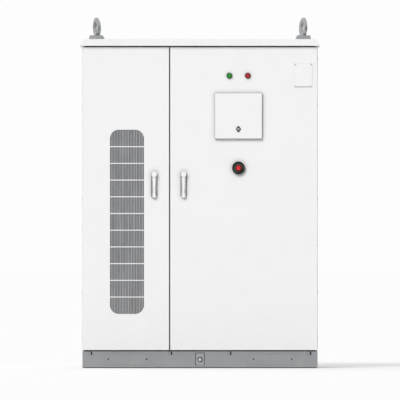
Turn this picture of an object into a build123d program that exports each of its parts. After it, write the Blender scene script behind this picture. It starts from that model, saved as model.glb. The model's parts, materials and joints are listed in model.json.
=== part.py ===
"""Outdoor battery cabinet with two doors, on a folded plinth.

Millimetres, +Z up, doors facing -Y. The origin is on the floor, in the middle of
the pattern of floor anchor holes, which is also the middle of the plinth.
"""
import os
from math import atan2, ceil, cos, pi, radians, sin, sqrt, tan

from build123d import *

# Overall size of the body, doors included
body_width = 1564.0
body_depth = 1250.0
body_height = 2015.0
sheet = 2.0

# Plinth
plinth_height = 112.0
plinth_wall = 4.0
plinth_flange = 60.0
plinth_inset = 10.0
anchor_inset_x = 80.0
anchor_inset_y = 30.0
anchor_hole_r = 9.0
access_slot_inset = 54.0
access_slot_middle_x = 197.0
access_slot_width = 24.0
access_slot_height = 25.0
fork_pocket_x = 483.0
fork_pocket_width = 300.0
fork_pocket_height = 76.0
fork_pocket_z = 59.0
fork_cover_gap = 0.8
fork_cover_inset = 0.5
fork_screw_spacing = 254.0
fork_screw_r = 4.5
fork_screw_gap = 0.3
fork_screw_head = 1.2
fork_screw_head_r = 7.2
fork_tab_width = 52.0
fork_tab_overlap = 5.0
fork_tab_thickness = 3.0

# Earthing point in the middle of the plinth
earth_window_width = 62.0
earth_window_height = 92.0
earth_window_z = 57.0
earth_window_corner = 8.0
earth_plate_gap = 4.0
earth_plate_thickness = 5.0
earth_plate_recess = 1.5
earth_stud_r = 6.0
earth_stud_length = 36.0
earth_stud_tip = 1.0
earth_washer_r = 17.0
earth_washer_thickness = 3.0
earth_nut_flat = 19.0
earth_nut_height = 10.0

# Strips between plinth and body and between body and roof
strip_height = 8.0
strip_width = 34.0
strip_inset = 14.0

# Frame of square tube
post_size = 50.0
top_rail_height = 55.0
tube_wall = 3.0
split_x = -202.0
side_panel_depth = 20.0
side_panel_gap = 2.0

# Roof
roof_overhang = 18.0
fascia_height = 45.0
fascia_slope = 25.0
crown_height = 12.0
crown_border_x = 155.0
crown_border_y = 158.0
crown_slope_run = 270.0
roof_lip_thickness = 3.0

# Lifting eyes, one over each end of the front and rear top rails
eye_side_inset = 93.0
eye_ring_r = 63.0
eye_hole_r = 35.0
eye_ring_thickness = 15.0
eye_ring_edge = 5.0
eye_turn = 17.5
eye_collar_base_r = 51.0
eye_collar_top_r = 45.0
eye_collar_height = 26.0
eye_collar_edge = 3.0
eye_ring_sink = 8.0
eye_neck_width = 44.0
eye_neck_top_width = 30.0
eye_neck_rise = 22.0
eye_neck_crest = 10.5
eye_shank_r = 18.0
eye_shank_gap = 0.4
eye_bush_r = 22.0
eye_block_length = 70.0

# Doors: folded pans with lips, hung on concealed hinges
door_thickness = 30.0
door_side_inset = 2.0
door_split_gap = 8.0
door_lip = 20.0
door_hinge_lip = 70.0
seal_thickness = 8.0
seal_width = 14.0
seal_clearance = 0.3
seal_inset = 5.0

# Hinges
hinge_inset = 14.0
hinge_zs = (330.0, 1127.0, 1925.0)
hinge_pin_r = 3.0
hinge_running_gap = 0.05
hinge_knuckle_r = 6.0
hinge_web = 8.4
hinge_pin_head_r = 4.5
hinge_arm_height = 50.0
hinge_arm_thickness = 3.0
hinge_hook_reach = 22.0
hinge_foot_width = 17.0
hinge_leaf_height = 14.0
hinge_stack_gap = 0.5
hinge_pin_overlength = 3.0
hinge_window_margin = 9.0

# Swing handles, with a spindle through the door and a pinion behind it
left_handle_x = -305.0
right_handle_x = -109.0
handle_centre_z = 1219.5
handle_length = 183.0
handle_width = 43.0
handle_plate_thickness = 8.0
handle_plate_edge = 2.5
handle_hub_r = 20.0
handle_hub_height = 16.0
handle_cap_height = 3.0
handle_cap_edge = 1.8
handle_gap = 0.6
handle_joint_gap = 2.5
handle_tongue_width = 12.0
handle_tongue_r = 4.0
handle_tongue_gap = 0.4
handle_pin_drop = 15.5
handle_pin_depth = 6.5
handle_pin_r = 2.0
handle_running_gap = 0.05
lever_top_width = 32.0
lever_waist_width = 21.0
lever_foot_width = 31.0
lever_waist_share = 0.82
lever_end_margin = 5.0
lever_height = 14.4
lever_edge = 3.0
lever_tongue_foot = 6.0
spindle_r = 8.0
spindle_clearance = 0.3

# Lock case, pinion, racks and latch rods
gear_module = 1.5
gear_addendum = 1.425
gear_dedendum = 1.875
pinion_teeth = 17
rack_pressure_angle = 20.0
tooth_play = 0.35
pinion_width = 10.0
rack_width = 6.0
rod_width = 14.0
rod_end_gap = 3.0
rod_guide_gap = 0.4
rod_guide_wall = 4.0
rod_guide_height = 18.0
rod_guide_from_end = 120.0
lock_case_wall = 2.0
lock_case_above = 62.0
lock_case_below = 62.0
lock_case_side = 38.0
lock_case_depth = 32.0
lock_channel_width = 84.0

# Ventilation of the left door
vent_x = -485.5
vent_bottom = 360.0
vent_top = 1585.0
vent_width = 225.0
vent_corner = 58.0
vent_rows = 11
vent_bar = 7.0
vent_slot_pitch = 10.4
vent_slot_width = 5.8
vent_edge = 5.0
vent_plate = 2.0
vent_flange = 12.0
filter_thickness = 18.0

# Pilot lamps
lamp_z = 1945.0
green_lamp_x = 195.5
red_lamp_x = 318.0
lamp_bezel_r = 19.5
lamp_bezel_wall = 2.3
lamp_bezel_height = 7.0
lamp_bezel_floor = 2.0
lamp_lens_height = 12.0
lamp_lens_edge = 6.6
lamp_fit_gap = 0.3
lamp_body_r = 11.0
lamp_body_length = 40.0
lamp_nut_r = 15.0
lamp_nut_height = 5.0

# Emergency stop
estop_x = 256.0
estop_z = 1331.0
estop_guard_r = 42.5
estop_guard_wall = 4.0
estop_guard_height = 20.0
estop_guard_edge = 1.2
estop_floor = 2.0
estop_legend_r = 37.8
estop_legend_thickness = 1.5
estop_collar_r = 29.0
estop_collar_top_r = 17.0
estop_collar_height = 18.0
estop_stem_r = 8.0
estop_stem_tip_r = 5.0
estop_running_gap = 0.05
estop_cap_r = 19.5
estop_cap_height = 12.0
estop_cap_edge = 5.4
estop_cap_floor = 6.5
estop_travel = 4.0
estop_block_size = 34.0
estop_block_length = 46.0

# Display housing and its flap
hmi_x = 255.5
hmi_z = 1677.5
flap_width = 313.0
flap_height = 303.0
flap_depth = 18.0
flap_skin = 1.5
flap_edge = 1.2
flap_back_gap = 2.0
flap_axis_drop = 6.0
flap_axis_depth = 9.0
flap_top_return = 15.0
flap_pin_r = 1.5
flap_pin_gap = 0.05
flap_lug_r = 3.2
flap_lug_width = 8.0
flap_lug_root = 2.56
flap_swing_gap = 11.5
flap_side_gap = 2.0
hmi_rim = 24.0
hmi_rim_front_gap = 2.5
hmi_display_width = 236.0
hmi_display_height = 176.0
hmi_display_margin = 8.0
hmi_display_front = 6.0
hmi_display_depth = 34.0
hmi_fit_gap = 0.5
flap_lock_z = 1589.0
flap_lock_core_r = 8.0
flap_lock_flange_x = 16.5
flap_lock_flange_z = 20.5
flap_lock_flange_end_r = 5.5
flap_lock_flange_side_r = 3.0
flap_lock_flange_rim = 5.0
flap_lock_flange_edge = 0.8
flap_lock_flange_height = 3.0
flap_lock_core_height = 5.0
flap_lock_core_depth = 8.0
flap_lock_core_edge = 1.5
flap_lock_gap = 0.05
flap_cam_width = 9.0
flap_cam_thickness = 2.0
flap_cam_gap = 1.0

# Blank name plate
name_plate_side_inset = 92.5
name_plate_z = 1946.0
name_plate_width = 125.0
name_plate_height = 156.0
name_plate_thickness = 1.0
name_rivet_inset_x = 10.0
name_rivet_inset_z = 6.0
name_rivet_r = 3.2
name_rivet_height = 1.4
name_rivet_edge = 0.98

# Floor pan and cable glands
floor_sheet = 3.0
floor_rim = 30.0
gland_count = 4
gland_pitch = 90.0
gland_side_inset = 92.0
gland_back_inset = 55.0
gland_thread_r = 22.0
gland_bore_r = 14.0
gland_body_r = 27.0
gland_body_height = 20.0
gland_nut_r = 28.0
gland_nut_height = 8.0
gland_hole_gap = 0.4

# Inside: partition, rack, batteries, cooling and power conversion
partition_thickness = 3.0
rack_angle = 40.0
rack_wall = 4.0
runner_leg = 30.0
rack_first_z = 176.0
rack_pitch = 262.0
pack_count = 5
pack_height = 235.0
pack_side_gap = 2.0
pack_front_inset = 30.0
pack_rear_gap = 28.0
pack_flange = 12.0
pack_edge = 6.0
pack_handle_spacing = 560.0
pack_handle_length = 130.0
pack_handle_reach = 34.0
pack_handle_r = 5.0
pack_plug_spacing = 220.0
pack_plug_r = 16.0
pack_plug_length = 22.0
pack_plug_drop = 89.3
control_box_height = 190.0
case_side_gap = 12.0
case_post_gap = 23.0
case_front_inset = 17.0
case_rear_gap = 137.0
case_wall = 3.0
cooling_case_top = 960.0
converter_case_top = 1640.0
cooling_fan_z = 640.0
converter_fan_z = 1300.0
coil_height = 420.0
coil_thickness = 44.0
coil_behind_fan = 60.0

# Fans
fan_r = 150.0
fan_tip_gap = 5.0
shroud_wall = 8.0
shroud_depth = 60.0
shroud_flange = 360.0
shroud_flange_thickness = 3.0
shroud_fit_gap = 0.3
fan_hub_r = 42.0
fan_hub_length = 32.0
fan_hub_edge = 6.0
fan_blades = 7
fan_blade_thickness = 3.0
fan_blade_chord = 52.0
fan_blade_angle = 32.0
fan_blade_sink = 3.0
fan_shaft_r = 6.0
fan_running_gap = 0.05
motor_r = 38.0
motor_length = 36.0
motor_gap = 4.0
motor_strut = 10.0
motor_struts = 4

# Air slots of the rear panel
rear_slot_rows = 14
rear_slot_pitch = 22.0
rear_slot_height = 8.0
rear_slot_length = 380.0

# Levels and planes worked out from the driving dimensions
half_width = body_width / 2
front_y = -body_depth / 2
rear_y = body_depth / 2
body_bottom = plinth_height + strip_height
body_top = body_bottom + body_height
roof_bottom = body_top + strip_height
roof_top = roof_bottom + fascia_height
door_back_y = front_y + door_thickness
frame_front_y = door_back_y + seal_thickness
frame_rear_y = -frame_front_y
post_outer_x = half_width - side_panel_depth
post_inner_x = post_outer_x - post_size
opening_bottom = body_bottom + post_size
opening_top = body_top - top_rail_height
rail_inner_y = frame_rear_y - post_size
door_outer_x = half_width - door_side_inset
left_door_x = (-door_outer_x, split_x - door_split_gap / 2)
right_door_x = (split_x + door_split_gap / 2, door_outer_x)
hinge_x = door_outer_x - hinge_inset
hinge_y = front_y + hinge_inset
floor_top = body_bottom + floor_sheet
eye_x = half_width - eye_side_inset
eye_y = frame_rear_y - post_size / 2
anchor_x = half_width - anchor_inset_x
anchor_y = rear_y - plinth_inset - anchor_inset_y
access_slot_end_x = half_width - access_slot_inset
access_slot_xs = (-access_slot_end_x, -access_slot_middle_x, access_slot_middle_x, access_slot_end_x)
gland_xs = [-post_inner_x + gland_side_inset + index * gland_pitch for index in range(gland_count)]
name_plate_x = door_outer_x - name_plate_side_inset

# Planes of the handles and locks
handle_pivot_z = handle_centre_z + handle_length / 2 - handle_width / 2
handle_hub_y = (
    front_y - handle_plate_thickness - handle_gap - handle_hub_height,
    front_y - handle_plate_thickness - handle_gap,
)
handle_pin_y = handle_hub_y[0] + handle_pin_depth
handle_pin_z = handle_pivot_z - handle_pin_drop
pitch_r = gear_module * pinion_teeth / 2
tooth_pitch = pi * gear_module
rack_travel = pitch_r * pi / 2
rack_teeth = ceil(rack_travel / tooth_pitch) + 2
lock_case_y = (door_back_y, door_back_y + lock_case_depth)
gear_y = door_back_y + lock_case_depth / 2
vent_z = (vent_bottom + vent_top) / 2

# Planes of the display housing, the rack and the cooling side
display_z = hmi_z + (flap_height / 2 - flap_axis_drop - flap_swing_gap - hmi_rim) - hmi_display_height / 2
display_z -= hmi_display_margin + 2 * hmi_fit_gap
flap_front_y = front_y - flap_back_gap - flap_depth
flap_axis_y = flap_front_y + flap_axis_depth
flap_axis_z = hmi_z + flap_height / 2 - flap_axis_drop
rack_y = rail_inner_y - floor_sheet
rack_inner_x = (split_x + partition_thickness / 2 + rack_angle, post_inner_x - floor_sheet - rack_angle)
case_x = (-post_inner_x + case_side_gap, split_x - post_size / 2 - case_post_gap)
case_y = (-rail_inner_y + case_front_inset, rail_inner_y - case_rear_gap)
fan_x = vent_x


def block(x, y, z):
    """Box between two X, two Y and two Z values."""
    size = Box(x[1] - x[0], y[1] - y[0], z[1] - z[0])
    return Pos((x[0] + x[1]) / 2, (y[0] + y[1]) / 2, (z[0] + z[1]) / 2) * size


def bar_x(radius, x, y, z):
    """Round bar along X, from x[0] to x[1]."""
    return Pos((x[0] + x[1]) / 2, y, z) * Rot(0, 90, 0) * Cylinder(radius, x[1] - x[0])


def bar_y(radius, x, y, z):
    """Round bar along Y, from y[0] to y[1]."""
    return Pos(x, (y[0] + y[1]) / 2, z) * Rot(90, 0, 0) * Cylinder(radius, y[1] - y[0])


def bar_z(radius, x, y, z):
    """Round bar along Z, from z[0] to z[1]."""
    return Pos(x, y, (z[0] + z[1]) / 2) * Cylinder(radius, z[1] - z[0])


def cone_y(radius_front, radius_back, x, y, z):
    """Cone along Y, with its front radius at y[0] and its back radius at y[1]."""
    cone = Cone(radius_back, radius_front, y[1] - y[0])
    return Pos(x, (y[0] + y[1]) / 2, z) * Rot(90, 0, 0) * cone


def front_plate(profile, x, y, z):
    """Flat profile, drawn as seen from the front, given a thickness from y[0] to y[1]."""
    plane = Plane(origin=(x, y[1], z), x_dir=(1, 0, 0), z_dir=(0, -1, 0))
    return extrude(plane * profile, amount=y[1] - y[0])


def tube(x, y, z, along):
    """Square tube: a box with its hollow along one axis, "x", "y" or "z"."""
    spans = {"x": x, "y": y, "z": z}
    hollow = {}
    for name, span in spans.items():
        wall = 0.0 if name == along else tube_wall
        hollow[name] = (span[0] + wall, span[1] - wall)
    return block(x, y, z) - block(hollow["x"], hollow["y"], hollow["z"])


def group(pieces):
    """Separate solids that share one node."""
    return Compound(children=list(pieces))


def plinth_frame():
    """Folded plinth with flanges inside, slots, fork pockets and anchor holes."""
    outer_x = half_width
    outer_y = rear_y - plinth_inset
    flange = plinth_wall + plinth_flange
    body = block((-outer_x, outer_x), (-outer_y, outer_y), (0, plinth_height))
    inner_x = outer_x - plinth_wall
    inner_y = outer_y - plinth_wall
    body -= block((-inner_x, inner_x), (-inner_y, inner_y), (plinth_wall, plinth_height - plinth_wall))
    hole_x = outer_x - flange
    hole_y = outer_y - flange
    body -= block((-hole_x, hole_x), (-hole_y, hole_y), (0, plinth_height))
    for x in access_slot_xs:
        slot_x = (x - access_slot_width / 2, x + access_slot_width / 2)
        slot_z = (plinth_height - access_slot_height, plinth_height)
        body -= block(slot_x, (-outer_y, -inner_y), slot_z)
    for side in (-1, 1):
        for x in (-fork_pocket_x, fork_pocket_x):
            pocket_x = (x - fork_pocket_width / 2, x + fork_pocket_width / 2)
            pocket_y = sorted((side * inner_y, side * outer_y))
            body -= block(pocket_x, pocket_y, fork_pocket_span())
            for screw_side in (-1, 1):
                body += fork_tab(side, x, screw_side, inner_y)
    window = RectangleRounded(earth_window_width, earth_window_height, earth_window_corner)
    body -= front_plate(window, 0, (-outer_y, -inner_y), earth_window_z)
    for x in (-anchor_x, anchor_x):
        for y in (-anchor_y, anchor_y):
            body -= bar_z(anchor_hole_r, x, y, (0, plinth_wall))
    return body


def fork_pocket_span():
    """Lowest and highest Z of the fork pockets."""
    return (fork_pocket_z - fork_pocket_height / 2, fork_pocket_z + fork_pocket_height / 2)


def fork_tab(side, pocket_x, screw_side, wall_y):
    """Tab behind one end of a fork pocket, with the hole of the cover's screw."""
    screw_x = pocket_x + screw_side * fork_screw_spacing / 2
    edge_x = pocket_x + screw_side * (fork_pocket_width / 2 + fork_tab_overlap)
    tab_x = sorted((edge_x, edge_x - screw_side * fork_tab_width))
    tab_y = sorted((side * wall_y, side * (wall_y - fork_tab_thickness)))
    span = fork_pocket_span()
    tab = block(tab_x, tab_y, (span[0] - fork_tab_overlap, span[1] + fork_tab_overlap))
    return tab - bar_y(fork_screw_r + fork_screw_gap, screw_x, tab_y, fork_pocket_z)


def fork_pocket_covers():
    """Flush covers of the four fork pockets, with two screws each."""
    pieces = []
    outer_y = rear_y - plinth_inset
    inner_y = outer_y - plinth_wall
    face_y = outer_y - fork_cover_inset
    for side in (-1, 1):
        for x in (-fork_pocket_x, fork_pocket_x):
            half = fork_pocket_width / 2 - fork_cover_gap
            span = fork_pocket_span()
            cover_z = (span[0] + fork_cover_gap, span[1] - fork_cover_gap)
            cover = block((x - half, x + half), sorted((side * inner_y, side * face_y)), cover_z)
            for screw_side in (-1, 1):
                screw_x = x + screw_side * fork_screw_spacing / 2
                hole_y = sorted((side * inner_y, side * face_y))
                cover -= bar_y(fork_screw_r + fork_screw_gap, screw_x, hole_y, fork_pocket_z)
                shank_end = inner_y - fork_tab_thickness
                head_y = sorted((side * face_y, side * (face_y + fork_screw_head)))
                shank_y = sorted((side * shank_end, side * face_y))
                head = bar_y(fork_screw_head_r, screw_x, head_y, fork_pocket_z)
                pieces.append(head + bar_y(fork_screw_r, screw_x, shank_y, fork_pocket_z))
            pieces.append(cover)
    return group(pieces)


def earth_bracket():
    """Angle bracket in the plinth's window: face plate, foot and stud hole."""
    web_front = -(rear_y - plinth_inset)
    face_y = (web_front + earth_plate_recess, web_front + earth_plate_recess + earth_plate_thickness)
    width = earth_window_width - 2 * earth_plate_gap
    height = earth_window_height - 2 * earth_plate_gap
    plate = front_plate(Rectangle(width, height), 0, face_y, earth_window_z)
    top = plate.edges().filter_by(Axis.Y).sort_by(Axis.Z)[-2:]
    plate = fillet(top, earth_window_corner - earth_plate_gap / 2)
    foot_top = earth_window_z - height / 2
    foot_y = (web_front + plinth_wall, web_front + plinth_flange)
    riser_y = (foot_y[0], face_y[1])
    half = width / 2
    plate += block((-half, half), riser_y, (plinth_wall, foot_top + earth_plate_thickness))
    plate += block((-half, half), foot_y, (plinth_wall, plinth_wall + earth_plate_thickness))
    return plate - bar_y(earth_stud_r, 0, face_y, earth_window_z)


def earth_stud():
    """Earthing stud with its washer and nut, three solids."""
    face = -(rear_y - plinth_inset) + earth_plate_recess
    stud_y = (face - earth_stud_length / 2, face + earth_stud_length / 2)
    stud = bar_y(earth_stud_r, 0, stud_y, earth_window_z)
    stud = chamfer(stud.edges().sort_by(Axis.Y)[0], earth_stud_tip)
    washer_y = (face - earth_washer_thickness, face)
    washer = bar_y(earth_washer_r, 0, washer_y, earth_window_z)
    washer -= bar_y(earth_stud_r, 0, washer_y, earth_window_z)
    nut_y = (washer_y[0] - earth_nut_height, washer_y[0])
    hexagon = RegularPolygon(earth_nut_flat / 2, 6, major_radius=False)
    nut = front_plate(hexagon, 0, nut_y, earth_window_z)
    nut -= bar_y(earth_stud_r, 0, nut_y, earth_window_z)
    return group([stud, washer, nut])


def ring(outer_x, outer_y, width, z):
    """Flat rectangular ring around the cabinet's middle."""
    outer = block((-outer_x, outer_x), (-outer_y, outer_y), z)
    inner_x = outer_x - width
    inner_y = outer_y - width
    return outer - block((-inner_x, inner_x), (-inner_y, inner_y), z)


def sealing_strips():
    """Dark strips under the body and under the roof."""
    strip_x = half_width - strip_inset
    lower = ring(strip_x, rear_y - strip_inset - plinth_inset, strip_width + strip_inset, (plinth_height, body_bottom))
    upper = ring(post_outer_x, frame_rear_y, post_size, (body_top, roof_bottom))
    return group([lower, upper - eye_bars(eye_bush_r + eye_shank_gap, (body_top, roof_bottom))])


def eye_bars(radius, z):
    """Upright bars at the four places of the lifting eyes."""
    return [bar_z(radius, x, y, z) for x in (-eye_x, eye_x) for y in (-eye_y, eye_y)]


def frame_rails():
    """Base rails, top rails with their lifting blocks, and the lifting bushes."""
    pieces = []
    long_x = (-post_outer_x, post_outer_x)
    levels = ((body_bottom, opening_bottom), (opening_top, body_top))
    for level in levels:
        for side in (-1, 1):
            rail_y = sorted((side * frame_rear_y, side * rail_inner_y))
            rail = tube(long_x, rail_y, level, "x")
            if level == levels[1]:
                for x in (-eye_x, eye_x):
                    block_x = (x - eye_block_length / 2, x + eye_block_length / 2)
                    rail += block(block_x, rail_y, level)
                    rail -= bar_z(eye_shank_r + eye_shank_gap, x, side * eye_y, level)
            pieces.append(rail)
            rail_x = sorted((side * post_inner_x, side * post_outer_x))
            pieces.append(tube(rail_x, (-rail_inner_y, rail_inner_y), level, "y"))
    bush_z = (body_top, roof_top - sheet)
    bushes = eye_bars(eye_bush_r, bush_z)
    bores = eye_bars(eye_shank_r + eye_shank_gap, bush_z)
    return group(pieces + [bush - bore for bush, bore in zip(bushes, bores)])


def frame_posts():
    """Four corner posts and the post between the doors."""
    height = (opening_bottom, opening_top)
    pieces = []
    for x_side in (-1, 1):
        for y_side in (-1, 1):
            post_x = sorted((x_side * post_inner_x, x_side * post_outer_x))
            post_y = sorted((y_side * rail_inner_y, y_side * frame_rear_y))
            pieces.append(tube(post_x, post_y, height, "z"))
    centre_x = (split_x - post_size / 2, split_x + post_size / 2)
    pieces.append(tube(centre_x, (-frame_rear_y, -rail_inner_y), height, "z"))
    return group(pieces)


def floor_pan():
    """Folded tray between the base rails, with the holes of the cable glands."""
    pan_x = (-post_inner_x, post_inner_x)
    pan_y = (-rail_inner_y, rail_inner_y)
    pan = block(pan_x, pan_y, (body_bottom, body_bottom + floor_rim))
    inner_x = (pan_x[0] + floor_sheet, pan_x[1] - floor_sheet)
    inner_y = (pan_y[0] + floor_sheet, pan_y[1] - floor_sheet)
    pan -= block(inner_x, inner_y, (floor_top, body_bottom + floor_rim))
    for x in gland_xs:
        pan -= bar_z(gland_thread_r + gland_hole_gap, x, rail_inner_y - gland_back_inset, (body_bottom, floor_top))
    return pan


def cable_glands():
    """Glands clamped in the floor pan, each with a bore for its cable."""
    pieces = []
    y = rail_inner_y - gland_back_inset
    for x in gland_xs:
        body_z = (body_bottom - gland_body_height, body_bottom)
        nut_z = (floor_top, floor_top + gland_nut_height)
        gland = bar_z(gland_body_r, x, y, body_z)
        gland += bar_z(gland_thread_r, x, y, (body_bottom, nut_z[1]))
        gland += bar_z(gland_nut_r, x, y, nut_z)
        pieces.append(gland - bar_z(gland_bore_r, x, y, (body_z[0], nut_z[1])))
    return group(pieces)


def side_panels():
    """Left and right side panels, folded pans open towards the posts."""
    pieces = []
    for side in (-1, 1):
        panel_y = (-frame_rear_y, frame_rear_y - side_panel_gap)
        outer = sorted((side * post_outer_x, side * half_width))
        panel = block(outer, panel_y, (body_bottom, body_top))
        hollow_x = sorted((side * post_outer_x, side * (half_width - sheet)))
        hollow_y = (panel_y[0] + sheet, panel_y[1] - sheet)
        panel -= block(hollow_x, hollow_y, (body_bottom + sheet, body_top - sheet))
        pieces.append(panel)
    return group(pieces)


def rear_panel():
    """Rear panel, a deep folded pan with two fields of air slots."""
    panel = block((-half_width, half_width), (frame_rear_y, rear_y), (body_bottom, body_top))
    hollow_x = (-half_width + sheet, half_width - sheet)
    panel -= block(hollow_x, (frame_rear_y, rear_y - sheet), (body_bottom + sheet, body_top - sheet))
    slots = []
    for centre_z in (cooling_fan_z, converter_fan_z):
        for row in range(rear_slot_rows):
            z = centre_z + (row - (rear_slot_rows - 1) / 2) * rear_slot_pitch
            slot_x = (vent_x - rear_slot_length / 2, vent_x + rear_slot_length / 2)
            slot_z = (z - rear_slot_height / 2, z + rear_slot_height / 2)
            slots.append(block(slot_x, (rear_y - sheet, rear_y), slot_z))
    return panel - slots


def roof_shell(shrink, drop):
    """Solid of the roof's outer form, or of its hollow when shrunk and lowered."""
    half_x = half_width + roof_overhang - shrink
    half_y = rear_y + roof_overhang - shrink
    eave_x = half_x - fascia_slope
    eave_y = half_y - fascia_slope
    eave_z = roof_top - drop
    lower = Pos(0, 0, roof_bottom) * Rectangle(2 * half_x, 2 * half_y)
    upper = Pos(0, 0, eave_z) * Rectangle(2 * eave_x, 2 * eave_y)
    shell = loft([lower, upper])
    crown_x = half_width + roof_overhang - fascia_slope - crown_border_x - shrink
    crown_y = rear_y + roof_overhang - fascia_slope - crown_border_y - shrink
    crown_base = Pos(0, 0, eave_z) * Rectangle(2 * crown_x, 2 * crown_y)
    ridge = Rectangle(2 * (crown_x - crown_slope_run), 2 * (crown_y - crown_slope_run))
    crown = loft([crown_base, Pos(0, 0, eave_z + crown_height) * ridge])
    return shell + crown


def roof():
    """Folded roof with sloped edges, a low crown, and a lip that rests on its gasket."""
    shell = roof_shell(0, 0) - roof_shell(sheet, sheet)
    lip_x = half_width + roof_overhang - sheet
    lip_y = rear_y + roof_overhang - sheet
    lip_z = (roof_bottom, roof_bottom + roof_lip_thickness)
    shell += ring(lip_x, lip_y, lip_y - rail_inner_y, lip_z)
    shell -= eye_bars(eye_bush_r + eye_shank_gap, lip_z)
    return shell - eye_bars(eye_shank_r + eye_shank_gap, (roof_top - sheet, roof_top))


def lifting_eyes():
    """Four lifting eyes: shank, round collar, neck and ring."""
    pieces = []
    centre_z = roof_top + eye_collar_height - eye_ring_sink + eye_ring_r
    for x in (-eye_x, eye_x):
        for y in (-eye_y, eye_y):
            collar = Cone(eye_collar_base_r, eye_collar_top_r, eye_collar_height)
            collar = Pos(0, 0, roof_top + eye_collar_height / 2) * collar
            collar = fillet(collar.edges().sort_by(Axis.Z)[-1], eye_collar_edge)
            profile = Rectangle(eye_ring_r - eye_hole_r, eye_ring_thickness)
            profile = fillet(profile.vertices(), eye_ring_edge)
            section = Plane.XY * Pos((eye_ring_r + eye_hole_r) / 2, 0) * profile
            eye_ring = revolve(section, Axis.Y, 360)
            eye_ring = Pos(0, 0, centre_z) * eye_ring
            neck_z = roof_top + eye_collar_height
            base = Pos(0, 0, neck_z) * Rectangle(eye_neck_width, eye_collar_height)
            crest = Pos(0, 0, neck_z + eye_neck_rise) * Rectangle(eye_neck_top_width, eye_neck_crest)
            neck = loft([base, crest]) - bar_y(eye_hole_r, 0, (-eye_ring_r, eye_ring_r), centre_z)
            shank_z = (opening_top + tube_wall, roof_top)
            shank = bar_z(eye_shank_r, 0, 0, shank_z)
            eye = collar + neck + eye_ring + shank
            pieces.append(Pos(x, y, 0) * Rot(0, 0, 90 + eye_turn) * eye)
    return group(pieces)


def door_pan(span, hinge_side, handle_x):
    """Folded door pan with lips, hinge windows in its wide lip, and the lock's channel."""
    z = (body_bottom, body_top)
    inner_z = (z[0] + sheet, z[1] - sheet)
    inner_x = (span[0] + sheet, span[1] - sheet)
    pan = block(span, (front_y, door_back_y), z)
    pan -= block(inner_x, (front_y + sheet, door_back_y - sheet), inner_z)
    lips = {hinge_side: door_hinge_lip, -hinge_side: door_lip}
    window_x = (span[0] + lips[-1], span[1] - lips[1])
    pan -= block(window_x, (door_back_y - sheet, door_back_y), (z[0] + door_lip, z[1] - door_lip))
    arm_face = hinge_x - hinge_hook_reach - hinge_arm_thickness / 2
    for hinge_z in hinge_zs:
        cut_x = sorted((hinge_side * (arm_face - hinge_window_margin), hinge_side * (door_outer_x - sheet)))
        half = hinge_arm_height / 2 + hinge_stack_gap + hinge_leaf_height + hinge_window_margin
        pan -= block(cut_x, (door_back_y - sheet, door_back_y), (hinge_z - half, hinge_z + half))
    half = lock_channel_width / 2
    channel = block((handle_x - half, handle_x + half), (front_y + sheet, door_back_y), inner_z)
    hollow_x = (handle_x - half + sheet, handle_x + half - sheet)
    channel -= block(hollow_x, (front_y + sheet, door_back_y - sheet), inner_z)
    pan += channel
    return pan - bar_y(spindle_r + spindle_clearance, handle_x, (front_y, door_back_y), handle_pivot_z)


def hinge_arms():
    """Hooked arms of both doors' hinges, each with its knuckle and its foot."""
    pieces = []
    half_wall = hinge_arm_thickness / 2
    hook_x = hinge_x - hinge_hook_reach
    for side in (-1, 1):
        for z in hinge_zs:
            span = (z - hinge_arm_height / 2, z + hinge_arm_height / 2)
            arm = bar_z(hinge_knuckle_r, side * hinge_x, hinge_y, span)
            first_y = (hinge_y - half_wall, hinge_y + half_wall)
            arm += block(sorted((side * (hook_x - half_wall), side * hinge_x)), first_y, span)
            second_x = sorted((side * (hook_x - half_wall), side * (hook_x + half_wall)))
            arm += block(second_x, (hinge_y - half_wall, frame_front_y), span)
            foot_x = sorted((side * (hook_x + half_wall - hinge_foot_width), side * (hook_x + half_wall)))
            arm += block(foot_x, (frame_front_y - hinge_arm_thickness, frame_front_y), span)
            arm -= bar_z(hinge_pin_r + hinge_running_gap, side * hinge_x, hinge_y, span)
            pieces.append(arm)
    return group(pieces)


def hinge_pins():
    """Headed pins of the six hinges."""
    pieces = []
    half = hinge_arm_height / 2 + hinge_stack_gap + hinge_leaf_height
    for side in (-1, 1):
        for z in hinge_zs:
            pin = bar_z(hinge_pin_r, side * hinge_x, hinge_y, (z - half - hinge_pin_overlength, z + half))
            head_z = (z + half, z + half + hinge_pin_overlength)
            pieces.append(pin + bar_z(hinge_pin_head_r, side * hinge_x, hinge_y, head_z))
    return group(pieces)


def hinge_leaves(side):
    """Leaves of one door: a plate on the door with a knuckle above and below each arm."""
    pieces = []
    half_arm = hinge_arm_height / 2 + hinge_stack_gap
    plate_y = (front_y + sheet, front_y + sheet + hinge_arm_thickness)
    for z in hinge_zs:
        plate_x = sorted((side * (hinge_x - hinge_inset), side * (door_outer_x - sheet)))
        leaf = block(plate_x, plate_y, (z - half_arm - hinge_leaf_height, z + half_arm + hinge_leaf_height))
        for end in (-1, 1):
            span = sorted((z + end * half_arm, z + end * (half_arm + hinge_leaf_height)))
            web_x = (side * hinge_x - hinge_web / 2, side * hinge_x + hinge_web / 2)
            leaf += block(web_x, (plate_y[1], hinge_y), span)
            leaf += bar_z(hinge_knuckle_r, side * hinge_x, hinge_y, span)
            leaf -= bar_z(hinge_pin_r + hinge_running_gap, side * hinge_x, hinge_y, span)
        pieces.append(leaf)
    return group(pieces)


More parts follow.
